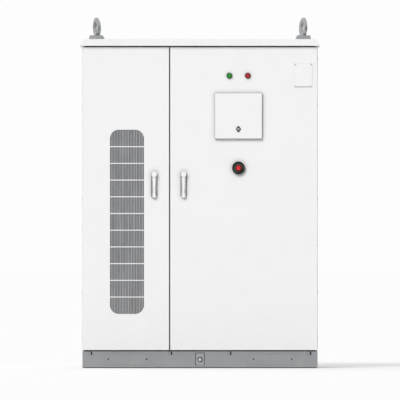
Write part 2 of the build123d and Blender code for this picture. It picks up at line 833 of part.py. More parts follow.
def door_seals():
    """Rubber frames that the closed doors rest on."""
    pieces = []
    seal_y = (frame_front_y - seal_thickness + seal_clearance, frame_front_y)
    edge = door_split_gap / 2 + seal_inset
    left_x = (-post_inner_x - seal_width, split_x - edge)
    right_x = (split_x + edge, post_inner_x + seal_width)
    for span in (left_x, right_x):
        outer_z = (body_bottom + seal_inset, body_top - seal_inset)
        seal = block(span, seal_y, outer_z)
        inner_x = (span[0] + seal_width, span[1] - seal_width)
        pieces.append(seal - block(inner_x, seal_y, (outer_z[0] + seal_width, outer_z[1] - seal_width)))
    return group(pieces)


def vent_outline(margin):
    """Rounded outline of the vent, widened by a margin all round."""
    return RectangleRounded(vent_width + 2 * margin, vent_top - vent_bottom + 2 * margin, vent_corner + margin)


def left_door_panel():
    """Narrow door with the opening of the vent."""
    pan = door_pan(left_door_x, -1, left_handle_x)
    return pan - front_plate(vent_outline(0), vent_x, (front_y, front_y + sheet), vent_z)


def vent_grille():
    """Grille behind the vent opening: rows of upright slots between flat cross bars."""
    back = (front_y + sheet, front_y + sheet + vent_plate)
    plate = front_plate(vent_outline(vent_flange), vent_x, back, vent_z)
    height = vent_top - vent_bottom - 2 * vent_edge
    row_height = (height - (vent_rows - 1) * vent_bar) / vent_rows
    columns = int((vent_width - 2 * vent_edge) / vent_slot_pitch)
    slots = []
    bars = []
    for row in range(vent_rows):
        low = vent_bottom + vent_edge + row * (row_height + vent_bar)
        for column in range(columns):
            offset = (column - (columns - 1) / 2) * vent_slot_pitch
            reach = vent_half_height(abs(offset) + vent_slot_width / 2)
            z = (max(low, vent_z - reach), min(low + row_height, vent_z + reach))
            half = vent_slot_width / 2
            slots.append(block((vent_x + offset - half, vent_x + offset + half), back, z))
        if row > 0:
            half = vent_width / 2 - vent_edge
            bars.append(block((vent_x - half, vent_x + half), (front_y, back[0]), (low - vent_bar, low)))
    return (plate - slots) + bars


def vent_half_height(offset):
    """Half of the vent's slotted height at a distance from its middle line."""
    radius = vent_corner - vent_edge
    straight = vent_width / 2 - vent_corner
    past = max(offset - straight, 0)
    return (vent_top - vent_bottom) / 2 - vent_corner + sqrt(radius**2 - past**2)


def vent_filter():
    """Filter mat behind the grille."""
    mat_front = front_y + sheet + vent_plate
    return front_plate(vent_outline(vent_flange), vent_x, (mat_front, mat_front + filter_thickness), vent_z)


def handle_plate(x):
    """Fixed plate of a handle, a flat stadium with softened edges and the spindle's hole."""
    plate_y = (front_y - handle_plate_thickness, front_y)
    plate = front_plate(SlotOverall(handle_length, handle_width, rotation=90), x, plate_y, handle_centre_z)
    plate = fillet(plate.faces().sort_by(Axis.Y)[0].edges(), handle_plate_edge)
    return plate - bar_y(spindle_r + spindle_clearance, x, plate_y, handle_pivot_z)


def handle_hub(x, side):
    """Turning hub with its cap, lever pin, spindle and pinion."""
    hub = bar_y(handle_hub_r, x, handle_hub_y, handle_pivot_z)
    cap_y = (handle_hub_y[0] - handle_cap_height, handle_hub_y[0])
    cap = bar_y(handle_hub_r - 1, x, cap_y, handle_pivot_z)
    cap = fillet(cap.edges().sort_by(Axis.Y)[0], handle_cap_edge)
    half_slot = handle_tongue_width / 2 + handle_tongue_gap
    slot_z = (handle_pivot_z - handle_hub_r, handle_pin_z + handle_tongue_r + handle_tongue_gap)
    slot_y = (handle_hub_y[0], handle_pin_y + handle_tongue_r + handle_tongue_gap)
    hub -= block((x - half_slot, x + half_slot), slot_y, slot_z)
    pin_x = (x - half_slot - handle_pin_r, x + half_slot + handle_pin_r)
    spindle = bar_y(spindle_r, x, (handle_hub_y[1], lock_case_y[1] - lock_case_wall - rod_guide_gap), handle_pivot_z)
    start = 0.0 if side > 0 else pi
    pinion_y = (gear_y - pinion_width / 2, gear_y + pinion_width / 2)
    pinion = front_plate(pinion_profile(start), x, pinion_y, handle_pivot_z)
    return hub + cap + bar_x(handle_pin_r, pin_x, handle_pin_y, handle_pin_z) + spindle + pinion


def pinion_profile(start_angle):
    """Involute pinion outline with its first tooth at the start angle."""
    base_r = pitch_r * cos(radians(rack_pressure_angle))
    radii = (pitch_r - gear_dedendum, base_r, pitch_r, pitch_r + gear_addendum)
    pitch_half = pi / (2 * pinion_teeth) - tooth_play / (2 * pitch_r)
    halves = []
    for radius in radii:
        reach = sqrt(max(radius**2 - base_r**2, 0)) / base_r
        halves.append(pitch_half + involute(tan(radians(rack_pressure_angle))) - involute(reach))
    points = []
    for tooth in range(pinion_teeth):
        centre = start_angle + tooth * 2 * pi / pinion_teeth
        for radius, half in zip(radii, halves):
            points.append((radius * cos(centre - half), radius * sin(centre - half)))
        for radius, half in zip(reversed(radii), reversed(halves)):
            points.append((radius * cos(centre + half), radius * sin(centre + half)))
    return make_face(Polyline(points, close=True))


def involute(reach):
    """Involute angle whose tangent is the given reach."""
    return reach - atan2(reach, 1.0)


def handle_lever(x):
    """Lever below the hub, waisted, with a flared foot and a tongue on the hub's pin."""
    top_r = handle_hub_r + handle_joint_gap
    top_half = lever_top_width / 2
    shoulder_z = -sqrt(top_r**2 - top_half**2)
    foot_r = lever_foot_width / 2
    foot_z = -(handle_length - handle_width / 2 - lever_end_margin - foot_r)
    waist_z = foot_z * lever_waist_share
    waist_half = lever_waist_width / 2
    side_points = [(top_half, shoulder_z), (waist_half, waist_z), (foot_r, foot_z)]
    down = (0, -1)
    right = Spline(*side_points, tangents=(down, down))
    left = Spline(*[(-px, pz) for px, pz in side_points], tangents=(down, down))
    top = ThreePointArc((-top_half, shoulder_z), (0, -top_r), (top_half, shoulder_z))
    end = ThreePointArc((-foot_r, foot_z), (0, foot_z - foot_r), (foot_r, foot_z))
    outline = make_face([top, right, end, left])
    lever_y = (handle_hub_y[1] - lever_height, handle_hub_y[1])
    lever = front_plate(outline, x, lever_y, handle_pivot_z)
    lever = fillet(lever.faces().sort_by(Axis.Y)[0].edges(), lever_edge)
    half = handle_tongue_width / 2
    tongue_x = (x - half, x + half)
    tongue = bar_x(handle_tongue_r, tongue_x, handle_pin_y, handle_pin_z)
    neck_y = (handle_pin_y - handle_tongue_r, handle_pin_y + handle_tongue_r)
    tongue += block(tongue_x, neck_y, (handle_pivot_z - top_r - lever_tongue_foot, handle_pin_z))
    lever += tongue
    return lever - bar_x(handle_pin_r + handle_running_gap, tongue_x, handle_pin_y, handle_pin_z)


def latch_rod(x, side, end):
    """Latch rod with its rack: end +1 is the upper rod, -1 the lower one."""
    rack_side = side * end
    inner = pitch_r + gear_dedendum
    bar_span = sorted((x + rack_side * inner, x + rack_side * (inner + rod_width)))
    start_z = handle_pivot_z - end * 1.6 * tooth_pitch
    far_z = opening_top - rod_end_gap if end > 0 else opening_bottom + rod_end_gap
    rod_y = (gear_y - rack_width / 2, gear_y + rack_width / 2)
    rod = block(bar_span, rod_y, sorted((start_z, far_z)))
    half = tooth_pitch / 4 - tooth_play / 2
    slope = tan(radians(rack_pressure_angle))
    tip = gear_addendum
    root = gear_dedendum
    phase = 0.5 if rack_side > 0 and side > 0 or rack_side < 0 and side < 0 else 0.0
    for step in range(-1, rack_teeth):
        z = end * (step + phase) * tooth_pitch
        flank = [(root, half + root * slope), (-tip, half - tip * slope), (-tip, tip * slope - half)]
        flank.append((root, -half - root * slope))
        corners = [(rack_side * (pitch_r + depth), z + rise) for depth, rise in flank]
        rod += front_plate(make_face(Polyline(corners, close=True)), x, rod_y, handle_pivot_z)
    return rod


def rod_slot(x, side, end, z, gap):
    """Clearance slot for one latch rod over a height."""
    rack_side = side * end
    inner = pitch_r + gear_dedendum
    slot_x = sorted((x + rack_side * (inner - gap), x + rack_side * (inner + rod_width + gap)))
    slot_y = (gear_y - rack_width / 2 - gap, gear_y + rack_width / 2 + gap)
    return block(slot_x, slot_y, z)


def lock_case(x, side):
    """Case around pinion and racks, and the guides near the far ends of the rods."""
    case_x = (x - lock_case_side, x + lock_case_side)
    case_z = (handle_pivot_z - lock_case_below, handle_pivot_z + lock_case_above)
    case = block(case_x, lock_case_y, case_z)
    wall = lock_case_wall
    hollow_y = (lock_case_y[0] + wall, lock_case_y[1] - wall)
    case -= block((case_x[0] + wall, case_x[1] - wall), hollow_y, (case_z[0] + wall, case_z[1] - wall))
    case -= bar_y(spindle_r + spindle_clearance, x, (lock_case_y[0], lock_case_y[0] + wall), handle_pivot_z)
    pieces = []
    for end in (-1, 1):
        wall_z = (case_z[0], case_z[0] + wall) if end < 0 else (case_z[1] - wall, case_z[1])
        slot = rod_slot(x, side, end, wall_z, rod_guide_gap)
        toothed = Pos(-side * end * 2 * gear_module, 0, 0) * slot
        case = case - slot - toothed
        far_z = opening_top if end > 0 else opening_bottom
        centre_z = far_z - end * rod_guide_from_end
        guide_z = (centre_z - rod_guide_height / 2, centre_z + rod_guide_height / 2)
        guide = rod_slot(x, side, end, guide_z, rod_guide_gap + rod_guide_wall)
        guide_box = guide.bounding_box()
        guide += block((guide_box.min.X, guide_box.max.X), (door_back_y, gear_y), guide_z)
        pieces.append(guide - rod_slot(x, side, end, guide_z, rod_guide_gap))
    return group([case] + pieces)


def through_hole(width, height, x, z):
    """Rectangular cutter through the skin of a door."""
    return block((x - width / 2, x + width / 2), (front_y, front_y + sheet), (z - height / 2, z + height / 2))


def right_door_panel():
    """Wide door with the holes of the lamps, the stop button and the display."""
    pan = door_pan(right_door_x, 1, right_handle_x)
    skin_y = (front_y, front_y + sheet)
    for x in (green_lamp_x, red_lamp_x):
        pan -= bar_y(lamp_body_r + lamp_fit_gap, x, skin_y, lamp_z)
    pan -= bar_y(estop_collar_top_r + lamp_fit_gap, estop_x, skin_y, estop_z)
    margin = 2 * hmi_fit_gap
    return pan - through_hole(hmi_display_width + margin, hmi_display_height + margin, hmi_x, display_z)


def lamp_bezels():
    """Bezels of both pilot lamps, with their threaded bodies and nuts."""
    pieces = []
    for x in (green_lamp_x, red_lamp_x):
        bezel_y = (front_y - lamp_bezel_height, front_y)
        bezel = bar_y(lamp_bezel_r, x, bezel_y, lamp_z)
        bezel -= bar_y(lamp_bezel_r - lamp_bezel_wall, x, (bezel_y[0], front_y - lamp_bezel_floor), lamp_z)
        bezel += bar_y(lamp_body_r, x, (front_y, front_y + lamp_body_length), lamp_z)
        nut_y = (front_y + sheet, front_y + sheet + lamp_nut_height)
        bezel += bar_y(lamp_nut_r, x, nut_y, lamp_z)
        pieces.append(bezel)
    return group(pieces)


def lamp_lens(x):
    """Domed lens seated in a bezel."""
    radius = lamp_bezel_r - lamp_bezel_wall - lamp_fit_gap
    lens_y = (front_y - lamp_bezel_floor - lamp_lens_height, front_y - lamp_bezel_floor)
    lens = bar_y(radius, x, lens_y, lamp_z)
    return fillet(lens.edges().sort_by(Axis.Y)[0], lamp_lens_edge)


def estop_body():
    """Fixed part of the emergency stop: guard ring, legend plate, collar with contact block."""
    guard_y = (front_y - estop_guard_height, front_y)
    guard = bar_y(estop_guard_r, estop_x, guard_y, estop_z)
    recess_y = (guard_y[0], front_y - estop_floor)
    guard -= bar_y(estop_guard_r - estop_guard_wall, estop_x, recess_y, estop_z)
    guard = fillet(guard.edges().sort_by(Axis.Y)[0:2], estop_guard_edge)
    guard -= bar_y(estop_collar_top_r, estop_x, (front_y - estop_floor, front_y), estop_z)
    legend_y = (front_y - estop_floor - estop_legend_thickness, front_y - estop_floor)
    legend = bar_y(estop_legend_r, estop_x, legend_y, estop_z)
    legend -= bar_y(estop_collar_top_r, estop_x, legend_y, estop_z)
    cone_front = front_y - estop_floor - estop_collar_height
    cone_back = front_y - estop_floor - estop_legend_thickness
    collar = cone_y(estop_collar_top_r, estop_collar_r, estop_x, (cone_front, cone_back), estop_z)
    collar += bar_y(estop_collar_top_r, estop_x, (cone_back, front_y + sheet), estop_z)
    half = estop_block_size / 2
    block_y = (front_y + sheet, front_y + sheet + estop_block_length)
    collar += block((estop_x - half, estop_x + half), block_y, (estop_z - half, estop_z + half))
    bore_y = (cone_front, block_y[1])
    collar -= bar_y(estop_stem_r + estop_running_gap, estop_x, bore_y, estop_z)
    return group([guard, legend, collar])


def estop_stem():
    """Plunger of the emergency stop, thinner where the cap turns on it."""
    cone_front = front_y - estop_floor - estop_collar_height
    shoulder = cone_front - estop_travel - 1.0
    stem = bar_y(estop_stem_r, estop_x, (shoulder, front_y + estop_block_length / 2), estop_z)
    return stem + bar_y(estop_stem_tip_r, estop_x, (shoulder - estop_cap_height / 2, shoulder), estop_z)


def estop_cap():
    """Mushroom cap, turned on the plunger's tip."""
    cone_front = front_y - estop_floor - estop_collar_height
    shoulder = cone_front - estop_travel - 1.0
    cap_y = (shoulder - estop_cap_height, shoulder)
    cap = bar_y(estop_cap_r, estop_x, cap_y, estop_z)
    cap = fillet(cap.edges().sort_by(Axis.Y)[0], estop_cap_edge)
    bore_y = (shoulder - estop_cap_floor, shoulder)
    return cap - bar_y(estop_stem_tip_r + estop_running_gap, estop_x, bore_y, estop_z)


def hmi_frame():
    """Rim behind the flap, with a lug for the flap's pin at each top corner."""
    half = flap_width / 2 - flap_skin - flap_side_gap
    bottom = hmi_z - flap_height / 2 + flap_skin + flap_side_gap
    top = flap_axis_z - flap_swing_gap
    rim_y = (front_y - flap_depth - flap_back_gap + flap_skin + hmi_rim_front_gap, front_y)
    rim = block((hmi_x - half, hmi_x + half), rim_y, (bottom, top))
    rim -= block((hmi_x - half + hmi_rim, hmi_x + half - hmi_rim), rim_y, (bottom + hmi_rim, top - hmi_rim))
    for side in (-1, 1):
        outer = hmi_x + side * half
        lug_x = sorted((outer, outer - side * flap_lug_width))
        lug = bar_x(flap_lug_r, lug_x, flap_axis_y, flap_axis_z)
        lug_y = (flap_axis_y - flap_lug_r, flap_axis_y + flap_lug_root)
        lug += block(lug_x, lug_y, (top - flap_lug_r, flap_axis_z))
        rim += lug
        rim -= bar_x(flap_pin_r, lug_x, flap_axis_y, flap_axis_z)
    return rim


def hmi_display():
    """Display unit through the door, with its front bezel and touch screen."""
    half_x = hmi_display_width / 2
    half_z = hmi_display_height / 2
    x = (hmi_x - half_x, hmi_x + half_x)
    body = block(x, (front_y, front_y + hmi_display_depth), (display_z - half_z, display_z + half_z))
    edge_x = (x[0] - hmi_display_margin, x[1] + hmi_display_margin)
    edge_z = (display_z - half_z - hmi_display_margin, display_z + half_z + hmi_display_margin)
    bezel = block(edge_x, (front_y - hmi_display_front, front_y), edge_z)
    bezel = chamfer(bezel.faces().sort_by(Axis.Y)[0].edges(), hmi_display_front / 3)
    screen = block(x, (front_y - hmi_display_front, front_y - hmi_display_front / 2), (display_z - half_z, display_z + half_z))
    return body + bezel - screen


def hmi_flap():
    """Flap over the display: a pan whose pins turn in the lugs, with the lock's hole."""
    half = flap_width / 2
    z = (hmi_z - flap_height / 2, hmi_z + flap_height / 2)
    flap_y = (flap_front_y, flap_front_y + flap_depth)
    flap = block((hmi_x - half, hmi_x + half), flap_y, z)
    flap = fillet(flap.faces().sort_by(Axis.Y)[0].edges(), flap_edge)
    hollow_x = (hmi_x - half + flap_skin, hmi_x + half - flap_skin)
    flap -= block(hollow_x, (flap_y[0] + flap_skin, flap_y[1]), (z[0] + flap_skin, z[1] - flap_skin))
    flap -= block(hollow_x, (flap_y[0] + flap_top_return, flap_y[1]), (z[1] - flap_skin, z[1]))
    for side in (-1, 1):
        outer = hmi_x + side * (half - flap_skin)
        pin_x = sorted((outer, outer - side * (flap_side_gap + flap_lug_width)))
        flap += bar_x(flap_pin_r - flap_pin_gap, pin_x, flap_axis_y, flap_axis_z)
    hole_y = (flap_y[0], flap_y[0] + flap_skin)
    return flap - bar_y(flap_lock_core_r + flap_lock_gap, hmi_x, hole_y, flap_lock_z)


def flap_lock_flange():
    """Black two-screw flange of the flap's lock."""
    flange_y = (flap_front_y - flap_lock_flange_height, flap_front_y)
    profile = Circle(flap_lock_core_r + flap_lock_flange_rim)
    for end in (-1, 1):
        profile += Pos(0, end * (flap_lock_flange_z - flap_lock_flange_end_r)) * Circle(flap_lock_flange_end_r)
        side_x = end * (flap_lock_flange_x - flap_lock_flange_side_r)
        profile += Pos(side_x, 0) * Circle(flap_lock_flange_side_r)
    profile = make_hull(profile.edges())
    flange = front_plate(profile, hmi_x, flange_y, flap_lock_z)
    flange = chamfer(flange.faces().sort_by(Axis.Y)[0].edges(), flap_lock_flange_edge)
    return flange - bar_y(flap_lock_core_r + flap_lock_gap, hmi_x, flange_y, flap_lock_z)


def flap_lock_core():
    """Quarter-turn core of the flap's lock with its cam."""
    front = flap_front_y - flap_lock_flange_height - flap_lock_core_height
    cam_y = (flap_front_y + flap_lock_core_depth - flap_cam_thickness, flap_front_y + flap_lock_core_depth)
    core = bar_y(flap_lock_core_r, hmi_x, (front, cam_y[1]), flap_lock_z)
    core = fillet(core.edges().sort_by(Axis.Y)[0], flap_lock_core_edge)
    rim_edge = hmi_z - flap_height / 2 + flap_skin + flap_side_gap + hmi_rim
    cam_x = (hmi_x - flap_cam_width / 2, hmi_x + flap_cam_width / 2)
    return core + block(cam_x, cam_y, (rim_edge + flap_cam_gap, flap_lock_z))


def name_plate():
    """Blank name plate with four rivets."""
    half_x = name_plate_width / 2
    half_z = name_plate_height / 2
    plate_y = (front_y - name_plate_thickness, front_y)
    z = (name_plate_z - half_z, name_plate_z + half_z)
    pieces = [block((name_plate_x - half_x, name_plate_x + half_x), plate_y, z)]
    head_y = (plate_y[0] - name_rivet_height, plate_y[0])
    for x_side in (-1, 1):
        for z_side in (-1, 1):
            x = name_plate_x + x_side * (half_x - name_rivet_inset_x)
            rivet_z = name_plate_z + z_side * (half_z - name_rivet_inset_z)
            rivet = bar_y(name_rivet_r, x, head_y, rivet_z)
            pieces.append(fillet(rivet.edges().sort_by(Axis.Y)[0], name_rivet_edge))
    return group(pieces)


def partition():
    """Sheet between the two compartments, from floor pan to top rails."""
    x = (split_x - partition_thickness / 2, split_x + partition_thickness / 2)
    return block(x, (-rack_y, rack_y), (floor_top, opening_top))


def rack_frame():
    """Four angle uprights and the runners that carry the batteries and the control box."""
    pieces = []
    top = rack_first_z + rack_pitch * pack_count + control_box_height
    for side, inner_x in ((-1, rack_inner_x[0]), (1, rack_inner_x[1])):
        leg_x = sorted((inner_x, inner_x + side * rack_wall))
        wide_x = sorted((inner_x, inner_x + side * rack_angle))
        for end in (-1, 1):
            outer_y = end * rack_y
            long_y = sorted((outer_y, outer_y - end * rack_angle))
            thin_y = sorted((outer_y, outer_y - end * rack_wall))
            upright_z = (floor_top, top)
            pieces.append(block(leg_x, long_y, upright_z) + block(wide_x, thin_y, upright_z))
        for level in range(pack_count + 1):
            z = rack_first_z + rack_pitch * level
            web_x = sorted((inner_x, inner_x - side * rack_wall))
            shelf_x = sorted((inner_x, inner_x - side * runner_leg))
            run_y = (-rack_y, rack_y)
            web = block(web_x, run_y, (z - rack_wall, z - rack_wall + rack_angle))
            pieces.append(web + block(shelf_x, run_y, (z - rack_wall, z)))
    return group(pieces)


def rack_box(z, height):
    """Case, flange, two handles and two plugs of a unit that stands on a pair of runners."""
    x = (rack_inner_x[0] + rack_wall + pack_side_gap, rack_inner_x[1] - rack_wall - pack_side_gap)
    front = -rack_y + pack_front_inset
    case = block(x, (front, rack_y - pack_rear_gap), (z, z + height))
    case = chamfer(case.faces().sort_by(Axis.Y)[0].edges(), pack_edge)
    middle = (x[0] + x[1]) / 2
    pieces = [case]
    for side in (-1, 1):
        handle_x = middle + side * pack_handle_spacing / 2
        reach_y = (front - pack_handle_reach, front)
        low = z + height / 2 - pack_handle_length / 2
        high = z + height / 2 + pack_handle_length / 2
        handle = bar_y(pack_handle_r, handle_x, reach_y, low) + bar_y(pack_handle_r, handle_x, reach_y, high)
        grip_z = (low - pack_handle_r, high + pack_handle_r)
        handle += bar_z(pack_handle_r, handle_x, reach_y[0] + pack_handle_r, grip_z)
        pieces.append(handle)
        plug_x = middle + side * pack_plug_spacing / 2
        pieces.append(bar_y(pack_plug_r, plug_x, (front - pack_plug_length, front), z + height - pack_plug_drop))
    return group(pieces)


def unit_case(z, fan_z):
    """Case of the cooling unit or the converter, open at its fan and along its back."""
    case = block(case_x, case_y, z)
    hollow_x = (case_x[0] + case_wall, case_x[1] - case_wall)
    hollow_y = (case_y[0] + case_wall, case_y[1] - case_wall)
    case -= block(hollow_x, hollow_y, (z[0] + case_wall, z[1] - case_wall))
    front_wall = (case_y[0], case_y[0] + case_wall)
    case -= bar_y(fan_r + fan_tip_gap + shroud_wall + shroud_fit_gap, fan_x, front_wall, fan_z)
    outlet_x = (case_x[0] + rack_angle, case_x[1] - rack_angle)
    outlet_z = (z[0] + rack_angle, z[1] - rack_angle)
    return case - block(outlet_x, (case_y[1] - case_wall, case_y[1]), outlet_z)


def condenser_coil():
    """Finned coil that spans the cooling case behind its fan."""
    x = (case_x[0] + case_wall, case_x[1] - case_wall)
    front = case_y[0] + shroud_depth + motor_length + coil_behind_fan
    z = (cooling_fan_z - coil_height / 2, cooling_fan_z + coil_height / 2)
    return block(x, (front, front + coil_thickness), z)


def fan_shrouds():
    """Shrouds of both fans: flange, ring, struts, motor and its shaft."""
    pieces = []
    inner_r = fan_r + fan_tip_gap
    outer_r = inner_r + shroud_wall
    back = case_y[0] + shroud_depth
    for z in (cooling_fan_z, converter_fan_z):
        flange_y = (case_y[0] - shroud_flange_thickness, case_y[0])
        half = shroud_flange / 2
        shroud = block((fan_x - half, fan_x + half), flange_y, (z - half, z + half))
        shroud += bar_y(outer_r, fan_x, (case_y[0], back), z)
        shroud -= bar_y(inner_r, fan_x, (flange_y[0], back), z)
        motor = bar_y(motor_r, fan_x, (back - motor_strut, back + motor_length), z)
        for strut in range(motor_struts):
            length = inner_r + shroud_wall / 2
            arm = Pos(length / 2, 0, 0) * Box(length, motor_strut, motor_strut)
            arm = Rot(0, strut * 360 / motor_struts + 45, 0) * arm
            motor += Pos(fan_x, back - motor_strut / 2, z) * arm
        shaft_y = (back - motor_strut - motor_gap - fan_hub_length, back - motor_strut)
        pieces.append(shroud + motor + bar_y(fan_shaft_r, fan_x, shaft_y, z))
    return group(pieces)


def fan_rotor(z):
    """Fan rotor: hub on the motor's shaft and pitched blades."""
    hub_back = case_y[0] + shroud_depth - motor_strut - motor_gap
    hub_y = (hub_back - fan_hub_length, hub_back)
    rotor = bar_y(fan_hub_r, fan_x, hub_y, z)
    rotor = fillet(rotor.edges().sort_by(Axis.Y)[0], fan_hub_edge)
    length = fan_r - fan_hub_r + fan_blade_sink
    blade = Box(length, fan_blade_thickness, fan_blade_chord)
    reach = fan_hub_r - fan_blade_sink + length / 2
    blade = Pos(reach, 0, 0) * Rot(fan_blade_angle, 0, 0) * blade
    disc = bar_y(fan_r, 0, (-fan_blade_chord, fan_blade_chord), 0)
    blade = blade & disc
    for index in range(fan_blades):
        turned = Rot(0, index * 360 / fan_blades, 0) * blade
        rotor += Pos(fan_x, (hub_y[0] + hub_y[1]) / 2, z) * turned
    return rotor - bar_y(fan_shaft_r + fan_running_gap, fan_x, hub_y, z)


cabinet = {
    "plinth_frame": plinth_frame(),
    "fork_pocket_covers": fork_pocket_covers(),
    "earth_bracket": earth_bracket(),
    "earth_stud": earth_stud(),
    "sealing_strips": sealing_strips(),
    "frame_rails": frame_rails(),
    "frame_posts": frame_posts(),
    "floor_pan": floor_pan(),
    "cable_glands": cable_glands(),
    "side_panels": side_panels(),
    "rear_panel": rear_panel(),
    "roof": roof(),
    "lifting_eyes": lifting_eyes(),
    "hinge_arms": hinge_arms(),
    "hinge_pins": hinge_pins(),
    "door_seals": door_seals(),
    "partition": partition(),
    "rack_frame": rack_frame(),
    "cooling_case": unit_case((floor_top, cooling_case_top), cooling_fan_z),
    "converter_case": unit_case((cooling_case_top, converter_case_top), converter_fan_z),
    "condenser_coil": condenser_coil(),
    "fan_shrouds": fan_shrouds(),
    "cooling_fan": fan_rotor(cooling_fan_z),
    "converter_fan": fan_rotor(converter_fan_z),
    "left_door_panel": left_door_panel(),
    "vent_grille": vent_grille(),
    "vent_filter": vent_filter(),
    "right_door_panel": right_door_panel(),
    "lamp_bezels": lamp_bezels(),
    "green_lamp_lens": lamp_lens(green_lamp_x),
    "red_lamp_lens": lamp_lens(red_lamp_x),
    "estop_body": estop_body(),
    "estop_stem": estop_stem(),
    "estop_cap": estop_cap(),
    "hmi_frame": hmi_frame(),
    "hmi_display": hmi_display(),
    "hmi_flap": hmi_flap(),
    "flap_lock_flange": flap_lock_flange(),
    "flap_lock_core": flap_lock_core(),
    "name_plate": name_plate(),
}
for number in range(pack_count):
    cabinet[f"battery_pack_{number + 1}"] = rack_box(rack_first_z + rack_pitch * number, pack_height)
cabinet["control_box"] = rack_box(rack_first_z + rack_pitch * pack_count, control_box_height)
for name, handle_x, hinge_side in (("left", left_handle_x, -1), ("right", right_handle_x, 1)):
    cabinet[f"{name}_hinge_leaves"] = hinge_leaves(hinge_side)
    cabinet[f"{name}_handle_plate"] = handle_plate(handle_x)
    cabinet[f"{name}_handle_hub"] = handle_hub(handle_x, -hinge_side)
    cabinet[f"{name}_handle_lever"] = handle_lever(handle_x)
    cabinet[f"{name}_upper_rod"] = latch_rod(handle_x, -hinge_side, 1)
    cabinet[f"{name}_lower_rod"] = latch_rod(handle_x, -hinge_side, -1)
    cabinet[f"{name}_lock_case"] = lock_case(handle_x, -hinge_side)

os.makedirs("parts", exist_ok=True)
for name, shape in cabinet.items():
    export_step(shape, f"parts/{name}.step")
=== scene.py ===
"""Looks of the outdoor battery cabinet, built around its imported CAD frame.

Metres, +Z up, doors facing -Y, in the same frame as the CAD model. Every finish is
procedural, and what repeats (blades, bars, screws, fins, guard rings) is grown by
Geometry Nodes and turned into a plain mesh.
"""
import json
import logging
import math
from collections.abc import Callable, Sequence
from dataclasses import dataclass, field
from enum import Enum

import bmesh
import bpy
from mathutils import Euler, Matrix, Vector

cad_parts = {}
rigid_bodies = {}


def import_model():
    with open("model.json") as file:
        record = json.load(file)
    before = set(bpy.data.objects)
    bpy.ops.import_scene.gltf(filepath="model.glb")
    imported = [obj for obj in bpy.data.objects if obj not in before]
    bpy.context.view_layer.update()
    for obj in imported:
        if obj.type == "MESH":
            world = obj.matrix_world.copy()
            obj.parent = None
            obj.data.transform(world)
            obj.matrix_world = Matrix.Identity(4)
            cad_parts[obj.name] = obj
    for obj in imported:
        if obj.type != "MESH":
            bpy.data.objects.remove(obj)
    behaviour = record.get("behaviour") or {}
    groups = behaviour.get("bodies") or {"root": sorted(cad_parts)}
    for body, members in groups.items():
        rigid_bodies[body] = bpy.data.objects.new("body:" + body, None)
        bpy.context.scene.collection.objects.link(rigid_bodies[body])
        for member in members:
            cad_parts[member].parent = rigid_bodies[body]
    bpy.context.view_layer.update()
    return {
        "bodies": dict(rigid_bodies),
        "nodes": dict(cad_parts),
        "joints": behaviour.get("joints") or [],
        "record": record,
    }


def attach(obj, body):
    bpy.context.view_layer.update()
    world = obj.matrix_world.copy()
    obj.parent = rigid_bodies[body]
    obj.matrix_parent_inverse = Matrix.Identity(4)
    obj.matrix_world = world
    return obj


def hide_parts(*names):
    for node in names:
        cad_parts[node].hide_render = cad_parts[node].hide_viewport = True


log = logging.getLogger("battery_cabinet")

Point = tuple[float, float]
Ring = list[Vector]


class Slot(Enum):
    """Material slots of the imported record."""

    BODY = "body_paint"
    PLINTH = "plinth_paint"
    ZINC = "inner_zinc"
    EYE = "eye_zinc"
    STEEL = "bright_steel"
    CHROME = "handle_chrome"
    RUBBER = "seal_rubber"
    FILTER = "filter_mat"
    GRILLE = "grille_paint"
    BLACK = "black_plastic"
    RED = "signal_red"
    LAMP_GREEN = "lamp_green"
    LAMP_RED = "lamp_red"
    GLASS = "display_glass"
    BATTERY = "battery_case"
    FINS = "coil_fins"
    PLATE = "plate_metal"


class Extra(Enum):
    """Finishes that stand beside the record's slots."""

    # Body paint made darker as painted shade, since the sloped roof catches more light.
    SHADED_ROOF = "roof_paint"
    # Painted shade: a darker, duller copy of the zinc for the bracket in its recess.
    SHADED_BRACKET = "bracket_zinc"
    BEZEL = "lamp_bezel"
    COLLAR = "collar_plastic"
    # Painted shade of the stop cap's rim; its release marks take it too.
    SHADED_CAP_RIM_AND_MARKS = "cap_rim"
    # Painted shade: a darker copy of the handle chrome for the back plate.
    SHADED_BACK_PLATE = "handle_back_plate"


class Side(Enum):
    """The two doors."""

    LEFT = "left"
    RIGHT = "right"


# ---- Shader wiring


def tint(code: str) -> tuple[float, float, float, float]:
    """Turns a display colour into the linear one that shaders work with.

    Args:
        code: Six hexadecimal digits.

    Returns:
        Linear red, green, blue and an alpha of one.
    """
    shares = [int(code[i : i + 2], 16) / 255 for i in (0, 2, 4)]
    linear = [s / 12.92 if s <= 0.04045 else ((s + 0.055) / 1.055) ** 2.4 for s in shares]
    return (*linear, 1.0)


